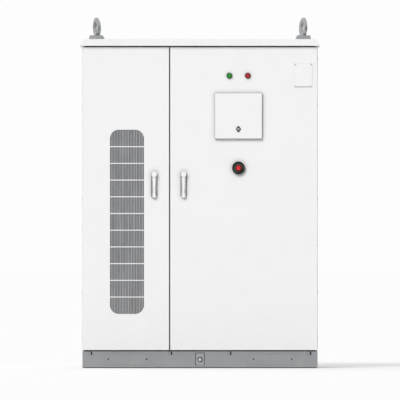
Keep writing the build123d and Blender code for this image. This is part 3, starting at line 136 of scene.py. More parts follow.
class Wiring:
    """Adds nodes to one tree and joins them."""

    def __init__(self, tree: bpy.types.NodeTree) -> None:
        """Works on the given tree."""
        self.tree = tree

    def node(self, kind: str, feeds: dict | None = None, **settings: object) -> bpy.types.Node:
        """Adds a node.

        Args:
            kind: Blender's node type.
            feeds: Input name or number to a value or to another node's output.
            settings: Properties of the node itself.

        Returns:
            The new node.
        """
        made = self.tree.nodes.new(kind)
        for label, value in settings.items():
            setattr(made, label, value)
        for label, value in (feeds or {}).items():
            self.feed(made.inputs[label], value)
        return made

    def feed(self, socket: bpy.types.NodeSocket, value: object) -> None:
        """Sets a socket's own value, or links it where the value is an output.

        Args:
            socket: The input.
            value: Its value, or the output to link.
        """
        if isinstance(value, bpy.types.NodeSocket):
            self.tree.links.new(value, socket)
        else:
            socket.default_value = value

    def sum(self, operation: str, *values: object) -> bpy.types.NodeSocket:
        """Returns the output of a Math node on the values."""
        return self.node("ShaderNodeMath", dict(enumerate(values)), operation=operation).outputs[0]

    def vector(self, operation: str, *values: object) -> bpy.types.NodeSocket:
        """Returns the main output of a Vector Math node on the values."""
        made = self.node("ShaderNodeVectorMath", dict(enumerate(values)), operation=operation)
        return made.outputs["Value" if operation in ("DOT_PRODUCT", "LENGTH") else "Vector"]

    def span(
        self, value: object, low: float, high: float, to_low: float, to_high: float
    ) -> bpy.types.NodeSocket:
        """Maps a value from one range to another, clamped.

        Args:
            value: The value.
            low: The first range's low end.
            high: The first range's high end.
            to_low: What the low end turns into.
            to_high: What the high end turns into.

        Returns:
            The mapped value.
        """
        feeds = {
            "Value": value, "From Min": low, "From Max": high, "To Min": to_low, "To Max": to_high
        }
        return self.node("ShaderNodeMapRange", feeds).outputs[0]

    def blend(self, share: object, first: object, second: object) -> bpy.types.NodeSocket:
        """Mixes two colours.

        Args:
            share: How much of the second colour, from 0 to 1.
            first: The colour at 0.
            second: The colour at 1.

        Returns:
            The mixed colour.
        """
        made = self.node("ShaderNodeMix", data_type="RGBA")
        for number, value in ((0, share), (6, first), (7, second)):
            self.feed(made.inputs[number], value)
        return made.outputs[2]

    def noise(
        self, place: object, scale: float, detail: float = 2.0, roughness: float = 0.5
    ) -> bpy.types.NodeSocket:
        """Returns the value of a noise texture at a place."""
        feeds = {"Vector": place, "Scale": scale, "Detail": detail, "Roughness": roughness}
        return self.node("ShaderNodeTexNoise", feeds).outputs[0]

    def stretched(self, place: object, scale: tuple[float, float, float]) -> bpy.types.NodeSocket:
        """Returns the place scaled by axis, for patterns that run one way."""
        return self.node("ShaderNodeMapping", {"Vector": place, "Scale": scale}).outputs[0]


class Effects:
    """Shader node groups that several finishes share, each built once."""

    def __init__(self) -> None:
        """Builds every group."""
        self.peel = self._orange_peel()
        # Edge mask: rubbed wear, and on powder coat a painted edge highlight.
        self.wear = self._edge_wear_and_highlight()
        self.dust = self._dust()
        self.spangle = self._zinc_spangle()
        self.brushing = self._brushing()
        # Painted shade: a mask that darkens the colour in inner corners, where light is short.
        self.corners = self._painted_corner_shade()

    @staticmethod
    def _group(
        name: str, inputs: dict, outputs: dict
    ) -> tuple[Wiring, bpy.types.Node, bpy.types.Node]:
        """Makes an empty group with its sockets.

        Args:
            name: The group's name.
            inputs: Socket name to (socket type, default value).
            outputs: Socket name to socket type.

        Returns:
            The wiring of the group, its input node and its output node.
        """
        tree = bpy.data.node_groups.new(name, "ShaderNodeTree")
        for label, (kind, value) in inputs.items():
            socket = tree.interface.new_socket(label, in_out="INPUT", socket_type=kind)
            if value is not None:
                socket.default_value = value
        for label, kind in outputs.items():
            tree.interface.new_socket(label, in_out="OUTPUT", socket_type=kind)
        wires = Wiring(tree)
        return wires, wires.node("NodeGroupInput"), wires.node("NodeGroupOutput")

    def _orange_peel(self) -> bpy.types.NodeTree:
        """Builds the dimples of a baked powder coat over the slow waves of thin sheet.

        Returns:
            The group: place, dimple scale and wave share in, height and mottle out.
        """
        inputs = {
            "Vector": ("NodeSocketVector", None),
            "Dimples": ("NodeSocketFloat", 420.0),
            "Sheet Waves": ("NodeSocketFloat", 0.6),
        }
        outputs = {"Height": "NodeSocketFloat", "Mottle": "NodeSocketFloat"}
        wires, given, out = self._group("orange_peel", inputs, outputs)
        place = given.outputs["Vector"]
        fine = wires.noise(place, 1.0, 3.0, 0.6)
        wires.feed(fine.node.inputs["Scale"], given.outputs["Dimples"])
        waves = wires.noise(place, 3.2, 1.0)
        raised = wires.sum("MULTIPLY", waves, given.outputs["Sheet Waves"])
        wires.feed(out.inputs["Height"], wires.sum("ADD", fine, raised))
        wires.feed(out.inputs["Mottle"], wires.noise(place, 7.0, 4.0, 0.62))
        return wires.tree

    def _edge_wear_and_highlight(self) -> bpy.types.NodeTree:
        """Builds a rounded normal and a mask of the outer edges, for rubbed wear and, on powder
        coat, a painted edge highlight.

        Returns:
            The group: place, radius and amount in, mask and normal out.
        """
        inputs = {
            "Vector": ("NodeSocketVector", None),
            "Radius": ("NodeSocketFloat", 0.0015),
            "Amount": ("NodeSocketFloat", 0.5),
        }
        outputs = {"Mask": "NodeSocketFloat", "Normal": "NodeSocketVector"}
        wires, given, out = self._group("edge_wear_and_highlight", inputs, outputs)
        rounded = wires.node(
            "ShaderNodeBevel", {"Radius": given.outputs["Radius"]}, samples=4
        ).outputs[0]
        flat = wires.node("ShaderNodeNewGeometry").outputs["True Normal"]
        turned = wires.span(wires.vector("DOT_PRODUCT", rounded, flat), 0.995, 0.86, 0.0, 1.0)
        patches = wires.span(
            wires.noise(given.outputs["Vector"], 34.0, 3.0, 0.7), 0.42, 0.62, 0.25, 1.0
        )
        rubbed = wires.sum(
            "MULTIPLY", wires.sum("MULTIPLY", turned, patches), given.outputs["Amount"]
        )
        wires.feed(out.inputs["Mask"], rubbed)
        wires.feed(out.inputs["Normal"], rounded)
        return wires.tree

    def _dust(self) -> bpy.types.NodeTree:
        """Builds a mask of settled dust: most near the ground, some on faces that look up.

        Returns:
            The group: place, reach and amount in, mask out.
        """
        inputs = {
            "Vector": ("NodeSocketVector", None),
            "Reach": ("NodeSocketFloat", 0.5),
            "Amount": ("NodeSocketFloat", 0.3),
        }
        wires, given, out = self._group("settled_dust", inputs, {"Mask": "NodeSocketFloat"})
        place = given.outputs["Vector"]
        height = wires.node("ShaderNodeSeparateXYZ", {0: place}).outputs["Z"]
        falling = wires.sum("SUBTRACT", 1.0, wires.sum("DIVIDE", height, given.outputs["Reach"]))
        low = wires.sum("POWER", wires.sum("MAXIMUM", falling, 0.0), 2.0)
        normal = wires.node("ShaderNodeNewGeometry").outputs["Normal"]
        upward = wires.span(
            wires.node("ShaderNodeSeparateXYZ", {0: normal}).outputs["Z"], 0.6, 1.0, 0.0, 0.35
        )
        clouds = wires.span(wires.noise(place, 11.0, 5.0, 0.68), 0.3, 0.75, 0.35, 1.0)
        settled = wires.sum("MULTIPLY", wires.sum("ADD", low, upward), clouds)
        wires.feed(out.inputs["Mask"], wires.sum("MULTIPLY", settled, given.outputs["Amount"]))
        return wires.tree

    def _zinc_spangle(self) -> bpy.types.NodeTree:
        """Builds the crystal flakes of galvanised sheet and its cloudy stains.

        Returns:
            The group: place and flake scale in, flake and cloud out.
        """
        inputs = {"Vector": ("NodeSocketVector", None), "Flakes": ("NodeSocketFloat", 70.0)}
        outputs = {"Flake": "NodeSocketFloat", "Cloud": "NodeSocketFloat"}
        wires, given, out = self._group("zinc_spangle", inputs, outputs)
        place = given.outputs["Vector"]
        cells = wires.node(
            "ShaderNodeTexVoronoi", {"Vector": place, "Scale": given.outputs["Flakes"]}
        )
        cell_shade = wires.node("ShaderNodeSeparateColor", {0: cells.outputs["Color"]}).outputs[0]
        wires.feed(out.inputs["Flake"], cell_shade)
        wires.feed(out.inputs["Cloud"], wires.noise(place, 9.0, 5.0, 0.65))
        return wires.tree

    def _brushing(self) -> bpy.types.NodeTree:
        """Builds fine scratches that run along the axis with the smallest scale.

        Returns:
            The group: place and grain in, streak out.
        """
        inputs = {
            "Vector": ("NodeSocketVector", None),
            "Grain": ("NodeSocketVector", (1600.0, 1600.0, 26.0)),
        }
        wires, given, out = self._group("brushed_grain", inputs, {"Streak": "NodeSocketFloat"})
        place = wires.vector("MULTIPLY", given.outputs["Vector"], given.outputs["Grain"])
        wires.feed(out.inputs["Streak"], wires.noise(place, 1.0, 3.0, 0.6))
        return wires.tree

    def _painted_corner_shade(self) -> bpy.types.NodeTree:
        """Builds a mask for painted shade: ambient occlusion finds the inner corners, where the
        colour is darkened.

        Returns:
            The group: reach and amount in, mask out.
        """
        inputs = {"Reach": ("NodeSocketFloat", 0.03), "Amount": ("NodeSocketFloat", 0.4)}
        wires, given, out = self._group("painted_corner_shade_mask", inputs, {"Mask": "NodeSocketFloat"})
        openness = wires.node(
            "ShaderNodeAmbientOcclusion", {"Distance": given.outputs["Reach"]}, samples=8
        ).outputs["AO"]
        closed = wires.span(openness, 1.0, 0.45, 0.0, 1.0)
        wires.feed(out.inputs["Mask"], wires.sum("MULTIPLY", closed, given.outputs["Amount"]))
        return wires.tree


# ---- Finishes


@dataclass(frozen=True)
class Finish:
    """A surface finish that can wire itself into a material."""

    slot: Slot | Extra
    colour: str
    roughness: float

    def material(self, effects: Effects) -> bpy.types.Material:
        """Builds the material.

        Args:
            effects: The shared node groups.

        Returns:
            The finished material, named after its slot.
        """
        made = bpy.data.materials.new(self.slot.value)
        made.use_nodes = True
        made.node_tree.nodes.clear()
        wires = Wiring(made.node_tree)
        shader = wires.node("ShaderNodeBsdfPrincipled", {"Roughness": self.roughness})
        wires.node("ShaderNodeOutputMaterial", {"Surface": shader.outputs[0]})
        place = wires.node("ShaderNodeTexCoord").outputs["Object"]
        self.wire(wires, shader, place, effects)
        return made

    def wire(
        self, wires: Wiring, shader: bpy.types.Node, place: bpy.types.NodeSocket, effects: Effects
    ) -> None:
        """Joins the finish's own nodes to the shader."""
        raise NotImplementedError

    @staticmethod
    def group(wires: Wiring, tree: bpy.types.NodeTree, feeds: dict) -> bpy.types.Node:
        """Places a shared node group with its own values.

        Args:
            wires: The material's wiring.
            tree: The shared group.
            feeds: Input name to a value or to another node's output.

        Returns:
            The placed group's node.
        """
        made = wires.node("ShaderNodeGroup", node_tree=tree)
        for label, value in feeds.items():
            wires.feed(made.inputs[label], value)
        return made

    @staticmethod
    def bump(
        wires: Wiring, shader: bpy.types.Node, height: object, depth: float, normal: object = None
    ) -> None:
        """Raises a height on the shader's normal by a depth in metres.

        Args:
            wires: The material's wiring.
            shader: The surface shader.
            height: The height to raise.
            depth: How deep, in metres.
            normal: The normal to start from, where it isn't the surface's own.
        """
        relief = wires.node(
            "ShaderNodeBump", {"Height": height, "Strength": 1.0, "Distance": depth}
        )
        if normal is not None:
            wires.feed(relief.inputs["Normal"], normal)
        wires.feed(shader.inputs["Normal"], relief.outputs[0])


@dataclass(frozen=True)
class PowderCoat(Finish):
    """Baked powder paint on sheet metal: orange peel, rubbed edges with a painted edge highlight,
    settled dust and, where set, painted shade in inner corners.
    """

    # Edge colour: rubbed wear, and on the white paints a painted edge highlight.
    edge: str = "FFFFFF"
    dust_colour: str = "B9B2A6"
    dust: float = 0.22
    dust_reach: float = 0.7
    wear: float = 0.5
    peel_depth: float = 0.00007
    edge_radius: float = 0.0016
    shade: float = 0.03
    streak: float = 0.0
    # Reach and strength of the painted shade in inner corners.
    painted_shade_reach: float = 0.03
    painted_shade_amount: float = 0.0

    def wire(
        self, wires: Wiring, shader: bpy.types.Node, place: bpy.types.NodeSocket, effects: Effects
    ) -> None:
        """Joins the paint's nodes to the shader.

        Args:
            wires: The material's wiring.
            shader: The surface shader.
            place: The object's own coordinates.
            effects: The shared node groups.
        """
        peel = self.group(wires, effects.peel, {"Vector": place})
        feeds = {"Vector": place, "Radius": self.edge_radius, "Amount": self.wear}
        wear = self.group(wires, effects.wear, feeds)
        feeds = {"Vector": place, "Reach": self.dust_reach, "Amount": self.dust}
        dust = self.group(wires, effects.dust, feeds)
        base = tint(self.colour)
        deeper = tuple(c * (1 - self.shade) for c in base[:3]) + (1.0,)
        mottled = wires.blend(
            wires.span(peel.outputs["Mottle"], 0.35, 0.65, 0.0, 1.0), base, deeper
        )
        if self.streak:
            # Darker in random vertical streaks across the grille.
            run = wires.noise(wires.stretched(place, (75.0, 1.0, 2.6)), 1.0, 3.0, 0.7)
            streak_colour = tuple(c * 0.35 for c in base[:3]) + (1.0,)
            mottled = wires.blend(wires.span(run, 0.42, 0.68, 0.0, self.streak), mottled, streak_colour)
        # Painted highlight and wear: the outer edges lighten towards the edge colour.
        worn_and_edge_lit = wires.blend(wear.outputs["Mask"], mottled, tint(self.edge))
        dusty_and_shaded = wires.blend(dust.outputs["Mask"], worn_and_edge_lit, tint(self.dust_colour))
        # Painted shade: the colour goes near-black in the inner corners that ambient occlusion
        # finds.
        if self.painted_shade_amount:
            feeds = {"Reach": self.painted_shade_reach, "Amount": self.painted_shade_amount}
            corner = self.group(wires, effects.corners, feeds)
            dusty_and_shaded = wires.blend(corner.outputs["Mask"], dusty_and_shaded, tint("1C1C1E"))
        wires.feed(shader.inputs["Base Color"], dusty_and_shaded)
        sheen = wires.span(
            peel.outputs["Mottle"], 0.3, 0.7, self.roughness - 0.04, self.roughness + 0.05
        )
        rough = wires.sum("ADD", sheen, wires.sum("MULTIPLY", dust.outputs["Mask"], 0.35))
        wires.feed(shader.inputs["Roughness"], rough)
        self.bump(wires, shader, peel.outputs["Height"], self.peel_depth, wear.outputs["Normal"])


@dataclass(frozen=True)
class Galvanised(Finish):
    """Zinc-dipped steel: crystal flakes, cloudy oxide and a soft metal gloss."""

    oxide: str = "A9AEB0"
    flakes: float = 70.0
    metallic: float = 0.75
    relief: float = 0.00005
    edge_radius: float = 0.001

    def wire(
        self, wires: Wiring, shader: bpy.types.Node, place: bpy.types.NodeSocket, effects: Effects
    ) -> None:
        """Joins the zinc's nodes to the shader.

        Args:
            wires: The material's wiring.
            shader: The surface shader.
            place: The object's own coordinates.
            effects: The shared node groups.
        """
        spangle = self.group(wires, effects.spangle, {"Vector": place, "Flakes": self.flakes})
        feeds = {"Vector": place, "Radius": self.edge_radius, "Amount": 0.4}
        wear = self.group(wires, effects.wear, feeds)
        base = tint(self.colour)
        darker = tuple(c * 0.72 for c in base[:3]) + (1.0,)
        flaked = wires.blend(spangle.outputs["Flake"], darker, base)
        cloud = wires.span(spangle.outputs["Cloud"], 0.45, 0.72, 0.0, 0.7)
        oxidised = wires.blend(cloud, flaked, tint(self.oxide))
        rubbed = wires.blend(wear.outputs["Mask"], oxidised, tint("DDE0E2"))
        wires.feed(shader.inputs["Base Color"], rubbed)
        wires.feed(
            shader.inputs["Metallic"],
            wires.span(cloud, 0.0, 0.7, self.metallic, self.metallic - 0.35),
        )
        flake_gloss = wires.span(
            spangle.outputs["Flake"], 0.0, 1.0, self.roughness, self.roughness + 0.16
        )
        wires.feed(shader.inputs["Roughness"], flake_gloss)
        self.bump(wires, shader, spangle.outputs["Flake"], self.relief, wear.outputs["Normal"])


@dataclass(frozen=True)
class BrushedMetal(Finish):
    """Plated or bare metal with a fine grain."""

    grain: tuple[float, float, float] = (1600.0, 1600.0, 26.0)
    metallic: float = 1.0
    relief: float = 0.000008
    edge_radius: float = 0.0008
    smudge: float = 0.12
    depth: float = 0.14

    def wire(
        self, wires: Wiring, shader: bpy.types.Node, place: bpy.types.NodeSocket, effects: Effects
    ) -> None:
        """Joins the metal's nodes to the shader.

        Args:
            wires: The material's wiring.
            shader: The surface shader.
            place: The object's own coordinates.
            effects: The shared node groups.
        """
        grain = self.group(wires, effects.brushing, {"Vector": place, "Grain": self.grain})
        feeds = {"Vector": place, "Radius": self.edge_radius, "Amount": 0.0}
        wear = self.group(wires, effects.wear, feeds)
        base = tint(self.colour)
        dimmer = tuple(c * (1 - self.depth) for c in base[:3]) + (1.0,)
        streak = wires.span(grain.outputs["Streak"], 0.35, 0.65, 0.0, 1.0)
        wires.feed(shader.inputs["Base Color"], wires.blend(streak, dimmer, base))
        shader.inputs["Metallic"].default_value = self.metallic
        prints = wires.span(wires.noise(place, 46.0, 4.0, 0.6), 0.5, 0.75, 0.0, self.smudge)
        grained = wires.span(streak, 0.0, 1.0, self.roughness, self.roughness + 0.06)
        wires.feed(shader.inputs["Roughness"], wires.sum("ADD", grained, prints))
        self.bump(wires, shader, grain.outputs["Streak"], self.relief, wear.outputs["Normal"])


@dataclass(frozen=True)
class MouldedPlastic(Finish):
    """Injection-moulded plastic: spark-eroded grain, gloss rubbed onto its edges."""

    grain_scale: float = 900.0
    grain_depth: float = 0.00003
    edge_radius: float = 0.0006
    gloss_coat: float = 0.0
    specular: float = 0.3
    rub: str = "5A5C60"

    def wire(
        self, wires: Wiring, shader: bpy.types.Node, place: bpy.types.NodeSocket, effects: Effects
    ) -> None:
        """Joins the plastic's nodes to the shader.

        Args:
            wires: The material's wiring.
            shader: The surface shader.
            place: The object's own coordinates.
            effects: The shared node groups.
        """
        grain = wires.noise(place, self.grain_scale, 2.0, 0.6)
        feeds = {"Vector": place, "Radius": self.edge_radius, "Amount": 0.35}
        wear = self.group(wires, effects.wear, feeds)
        feeds = {"Vector": place, "Reach": 0.6, "Amount": 0.15}
        dust = self.group(wires, effects.dust, feeds)
        base = tint(self.colour)
        deeper = tuple(c * 0.85 for c in base[:3]) + (1.0,)
        tone = wires.blend(
            wires.span(wires.noise(place, 30.0, 3.0), 0.3, 0.7, 0.0, 1.0), base, deeper
        )
        rubbed = wires.blend(wear.outputs["Mask"], tone, tint(self.rub))
        wires.feed(
            shader.inputs["Base Color"], wires.blend(dust.outputs["Mask"], rubbed, tint("9C968C"))
        )
        wires.feed(
            shader.inputs["Roughness"],
            wires.span(grain, 0.3, 0.7, self.roughness - 0.05, self.roughness + 0.05),
        )
        shader.inputs["Specular IOR Level"].default_value = self.specular
        shader.inputs["Coat Weight"].default_value = self.gloss_coat
        shader.inputs["Coat Roughness"].default_value = 0.08
        self.bump(wires, shader, grain, self.grain_depth, wear.outputs["Normal"])


@dataclass(frozen=True)
class LampPlastic(Finish):
    """Translucent lens plastic over a lit lamp: its colour is painted bright in the middle and deep
    at the rim, and it glows.
    """

    heart: str = "FFFFFF"
    centre: tuple[float, float, float] = (0.0, 0.0, 0.0)
    radius: float = 0.017
    glow: float = 0.12

    def wire(
        self, wires: Wiring, shader: bpy.types.Node, place: bpy.types.NodeSocket, effects: Effects
    ) -> None:
        """Joins the lens's nodes to the shader.

        Args:
            wires: The material's wiring.
            shader: The surface shader.
            place: The object's own coordinates.
            effects: The shared node groups.
        """
        wear = self.group(wires, effects.wear, {"Vector": place, "Radius": 0.0006, "Amount": 0.0})
        offset = wires.vector(
            "MULTIPLY", wires.vector("SUBTRACT", place, self.centre), (1.0, 0.0, 1.0)
        )
        outward = wires.sum("DIVIDE", wires.vector("LENGTH", offset), self.radius)
        facets = wires.node("ShaderNodeTexVoronoi", {"Vector": place, "Scale": 620.0}).outputs[0]
        # Painted highlight: the base colour lightens towards the middle of the lens as the lamp
        # behind would light it; the same colours glow as the lamp's own light.
        bright = wires.span(
            wires.sum("ADD", outward, wires.sum("MULTIPLY", facets, 0.25)), 0.0, 1.05, 0.75, 0.0
        )
        shade = wires.blend(bright, tint(self.colour), tint(self.heart))
        wires.feed(shader.inputs["Base Color"], shade)
        wires.feed(shader.inputs["Emission Color"], shade)
        shader.inputs["Emission Strength"].default_value = self.glow
        shader.inputs["Specular IOR Level"].default_value = 0.25
        shader.inputs["Coat Weight"].default_value = 0.25
        shader.inputs["Coat Roughness"].default_value = 0.06
        self.bump(wires, shader, facets, 0.00025, wear.outputs["Normal"])


@dataclass(frozen=True)
class DarkGlass(Finish):
    """Cover glass of a screen that is off, in a black bezel."""

    def wire(
        self, wires: Wiring, shader: bpy.types.Node, place: bpy.types.NodeSocket, effects: Effects
    ) -> None:
        """Joins the glass's nodes to the shader.

        Args:
            wires: The material's wiring.
            shader: The surface shader.
            place: The object's own coordinates.
            effects: The shared node groups.
        """
        wear = self.group(wires, effects.wear, {"Vector": place, "Radius": 0.0008, "Amount": 0.2})
        wipes = wires.noise(wires.stretched(place, (18.0, 18.0, 60.0)), 1.0, 4.0, 0.6)
        base = tint(self.colour)
        lighter = tuple(min(c * 1.8, 1.0) for c in base[:3]) + (1.0,)
        wires.feed(
            shader.inputs["Base Color"],
            wires.blend(wires.span(wipes, 0.4, 0.7, 0.0, 0.6), base, lighter),
        )
        wires.feed(
            shader.inputs["Roughness"],
            wires.span(wipes, 0.45, 0.8, self.roughness, self.roughness + 0.14),
        )
        shader.inputs["Coat Weight"].default_value = 1.0
        shader.inputs["Coat Roughness"].default_value = 0.03
        self.bump(wires, shader, wipes, 0.00001, wear.outputs["Normal"])


@dataclass(frozen=True)
class FibreMat(Finish):
    """Coarse filter fleece of tangled fibres."""

    strand: str = "8A8D90"

    def wire(
        self, wires: Wiring, shader: bpy.types.Node, place: bpy.types.NodeSocket, effects: Effects
    ) -> None:
        """Joins the fleece's nodes to the shader.

        Args:
            wires: The material's wiring.
            shader: The surface shader.
            place: The object's own coordinates.
            effects: The shared node groups; not used here.
        """
        first = wires.noise(wires.stretched(place, (900.0, 300.0, 160.0)), 1.0, 4.0, 0.7)
        second = wires.noise(wires.stretched(place, (170.0, 300.0, 900.0)), 1.0, 4.0, 0.7)
        tangle = wires.sum("MAXIMUM", first, second)
        shade = wires.blend(
            wires.span(tangle, 0.45, 0.75, 0.0, 1.0), tint(self.colour), tint(self.strand)
        )
        wires.feed(shader.inputs["Base Color"], shade)
        shader.inputs["Sheen Weight"].default_value = 0.25
        self.bump(wires, shader, tangle, 0.0012)


@dataclass(frozen=True)
class SoftRubber(Finish):
    """Extruded seal rubber with a bloom on it."""

    def wire(
        self, wires: Wiring, shader: bpy.types.Node, place: bpy.types.NodeSocket, effects: Effects
    ) -> None:
        """Joins the rubber's nodes to the shader.

        Args:
            wires: The material's wiring.
            shader: The surface shader.
            place: The object's own coordinates.
            effects: The shared node groups.
        """
        bloom = wires.noise(place, 25.0, 5.0, 0.7)
        base = tint(self.colour)
        shade = wires.blend(wires.span(bloom, 0.45, 0.75, 0.0, 0.5), base, tint("5C5C5E"))
        wires.feed(shader.inputs["Base Color"], shade)
        pores = wires.noise(place, 1400.0, 2.0)
        wires.feed(
            shader.inputs["Roughness"],
            wires.span(bloom, 0.3, 0.7, self.roughness, self.roughness + 0.1),
        )
        wear = self.group(wires, effects.wear, {"Vector": place, "Radius": 0.0015, "Amount": 0.0})
        self.bump(wires, shader, pores, 0.00004, wear.outputs["Normal"])


@dataclass(frozen=True)
class Palette:
    """Every material of the cabinet, made once."""

    effects: Effects
    made: dict = field(default_factory=dict)

    FINISHES = (
        PowderCoat(
            Slot.BODY,
            "F2F2F2",
            0.4,
            dust=0.12,
            shade=0.012,
            edge_radius=0.003,
            # Painted shade in the inner corners of the white body paint.
            painted_shade_reach=0.035,
            painted_shade_amount=0.34,
        ),
        PowderCoat(
            Slot.PLINTH, "95989C", 0.5, edge="C4C5C8", dust=0.3, dust_reach=0.16, shade=0.07
        ),
        Galvanised(Slot.ZINC, "C6CACD", 0.36),
        Galvanised(
            Slot.EYE, "B8BABC", 0.28, oxide="85878A", flakes=150.0, metallic=0.92, relief=0.00002
        ),
        BrushedMetal(Slot.STEEL, "D6D8DA", 0.28, grain=(700.0, 700.0, 700.0)),
        BrushedMetal(
            Slot.CHROME, "F8F8F9", 0.12, smudge=0.04, relief=0.000001, edge_radius=0.002, depth=0.03
        ),
        SoftRubber(Slot.RUBBER, "2A2A2B", 0.72),
        FibreMat(Slot.FILTER, "3E4042", 0.95),
        PowderCoat(
            Slot.GRILLE,
            "B2B3B5",
            0.5,
            edge="C9CACC",
            dust=0.2,
            dust_reach=1.4,
            shade=0.1,
            streak=0.45,
        ),
        MouldedPlastic(Slot.BLACK, "202123", 0.46),
        MouldedPlastic(Slot.RED, "DE2C26", 0.3, gloss_coat=0.2, rub="E8605C", grain_depth=0.00001),
        LampPlastic(Slot.LAMP_GREEN, "176B1D", 0.25, heart="2F9A34", centre=(0.1955, 0.0, 1.945)),
        LampPlastic(Slot.LAMP_RED, "8A1419", 0.25, heart="C4302E", centre=(0.318, 0.0, 1.945)),
        DarkGlass(Slot.GLASS, "15181C", 0.08),
        PowderCoat(Slot.BATTERY, "3B3F45", 0.5, edge="6A6E74", dust=0.15, shade=0.15),
        BrushedMetal(Slot.FINS, "B9BDC0", 0.42, grain=(2400.0, 20.0, 40.0), metallic=0.9),
        PowderCoat(Slot.PLATE, "F2F2F2", 0.36, dust=0.1, shade=0.01, edge_radius=0.0006),
        # Painted shade: a darker copy of the body's white for the roof, which catches more light.
        PowderCoat(
            Extra.SHADED_ROOF, "E5E5E5", 0.42, dust=0.2, dust_reach=2.9, shade=0.012, edge_radius=0.002
        ),
        # Painted shade: darker zinc for the bracket sitting in the plinth's recess.
        Galvanised(Extra.SHADED_BRACKET, "B0B3B6", 0.5, metallic=0.4, oxide="A2A5A8"),
        BrushedMetal(Extra.BEZEL, "3A3B3E", 0.3, metallic=0.6),
        # Painted shade: darker chrome, so the back plate reads as the lever's dark outline.
        BrushedMetal(
            Extra.SHADED_BACK_PLATE,
            "BDBEC1",
            0.2,
            smudge=0.04,
            relief=0.000001,
            edge_radius=0.001,
            depth=0.05,
        ),
        MouldedPlastic(Extra.COLLAR, "646564", 0.45, rub="8A8B8A"),
        # Painted shade for the stop cap's rim, also the colour of its release marks.
        MouldedPlastic(Extra.SHADED_CAP_RIM_AND_MARKS, "5A1517", 0.4, rub="8A2A2A", grain_depth=0.00001),
    )

    def __getitem__(self, slot: Slot | Extra) -> bpy.types.Material:
        """Gives a slot's material.

        Args:
            slot: The slot.

        Returns:
            Its material.
        """
        if slot not in self.made:
            finish = next(f for f in self.FINISHES if f.slot is slot)
            self.made[slot] = finish.material(self.effects)
        return self.made[slot]


# ---- Meshes and patterns


def facing_front(x: float, y: float, z: float) -> Matrix:
    """Returns the placement whose own x, y and z run right, up and out of the front."""
    return Matrix(((1, 0, 0, x), (0, 0, -1, y), (0, 1, 0, z), (0, 0, 0, 1)))


def rounded_outline(width: float, height: float, corner: float, steps: int = 8) -> list[Point]:
    """Returns a rounded rectangle about the origin, anticlockwise.

    Args:
        width: Its size across.
        height: Its size up.
        corner: Corner radius.
        steps: Straight pieces in each corner.

    Returns:
        The outline's points.
    """
    corner = max(min(corner, width / 2, height / 2), 1e-5)
    points = []
    for quarter, (sx, sy) in enumerate(((1, 1), (-1, 1), (-1, -1), (1, -1))):
        cx, cy = sx * (width / 2 - corner), sy * (height / 2 - corner)
        for step in range(steps + 1):
            angle = (quarter + step / steps) * math.pi / 2
            points.append((cx + corner * math.cos(angle), cy + corner * math.sin(angle)))
    return points


def round_outline(radius: float, steps: int = 48) -> list[Point]:
    """Returns a circle about the origin, anticlockwise."""
    turns = [2 * math.pi * i / steps for i in range(steps)]
    return [(radius * math.cos(a), radius * math.sin(a)) for a in turns]


class Shaper:
    """Gathers the faces of one piece and makes its object."""

    SHARP = math.radians(32)

    def __init__(self, name: str) -> None:
        """Starts an empty piece."""
        self.name = name
        self.mesh = bmesh.new()

    def loft(self, rings: Sequence[Ring], paint: int = 0, closed: bool = False) -> None:
        """Skins a row of rings with the same number of points.

        Args:
            rings: The rings, in order.
            paint: Number of the material on the new faces.
            closed: Whether the last ring joins the first one; otherwise both ends are capped.
        """
        rows = [[self.mesh.verts.new(p) for p in ring] for ring in rings]
        count = len(rows[0])
        pairs = list(zip(rows, rows[1:] + rows[:1] if closed else rows[1:]))
        faces = []
        for low, high in pairs:
            for i in range(count):
                j = (i + 1) % count
                faces.append(self.mesh.faces.new((low[i], low[j], high[j], high[i])))
        if not closed:
            faces.append(self.mesh.faces.new(rows[0][::-1]))
            faces.append(self.mesh.faces.new(rows[-1]))
        for face in faces:
            face.material_index = paint

    def turned(
        self,
        frame: Matrix,
        profile: Sequence[Point],
        paint: int = 0,
        steps: int = 48,
        closed: bool = False,
    ) -> None:
        """Turns a profile of (radius, height) points about the frame's own z axis.

        Args:
            frame: The axis is its Z.
            profile: Points of radius and height.
            paint: The faces' material number.
            steps: Corners of a circle.
            closed: Whether the last point joins the first.
        """
        rings = [
            [frame @ Vector((x, y, h)) for x, y in round_outline(r, steps)] for r, h in profile
        ]
        self.loft(rings, paint, closed)

    def slab(
        self, frame: Matrix, size: Point, corner: float, levels: Sequence[Point], paint: int = 0
    ) -> None:
        """Stacks rounded rectangles.

        Args:
            frame: Placement, thickness along its own z.
            size: Width and height.
            corner: Corner radius.
            levels: (inset, height) of each outline.
            paint: Number of the material.
        """
        rings = []
        for inset, height in levels:
            outline = rounded_outline(size[0] - 2 * inset, size[1] - 2 * inset, corner - inset)
            rings.append([frame @ Vector((x, y, height)) for x, y in outline])
        self.loft(rings, paint)

    def piece(self, body: str, slot: Slot, *materials: bpy.types.Material) -> bpy.types.Object:
        """Makes the object, with its normals out and its sharp edges marked.

        Args:
            body: CAD body that it rides on.
            slot: Record's material slot of its main finish.
            materials: The finishes, in the order of the paint numbers.

        Returns:
            The finished object.
        """
        bmesh.ops.recalc_face_normals(self.mesh, faces=self.mesh.faces)
        return settle(self.name, self.mesh, body, slot, *materials)


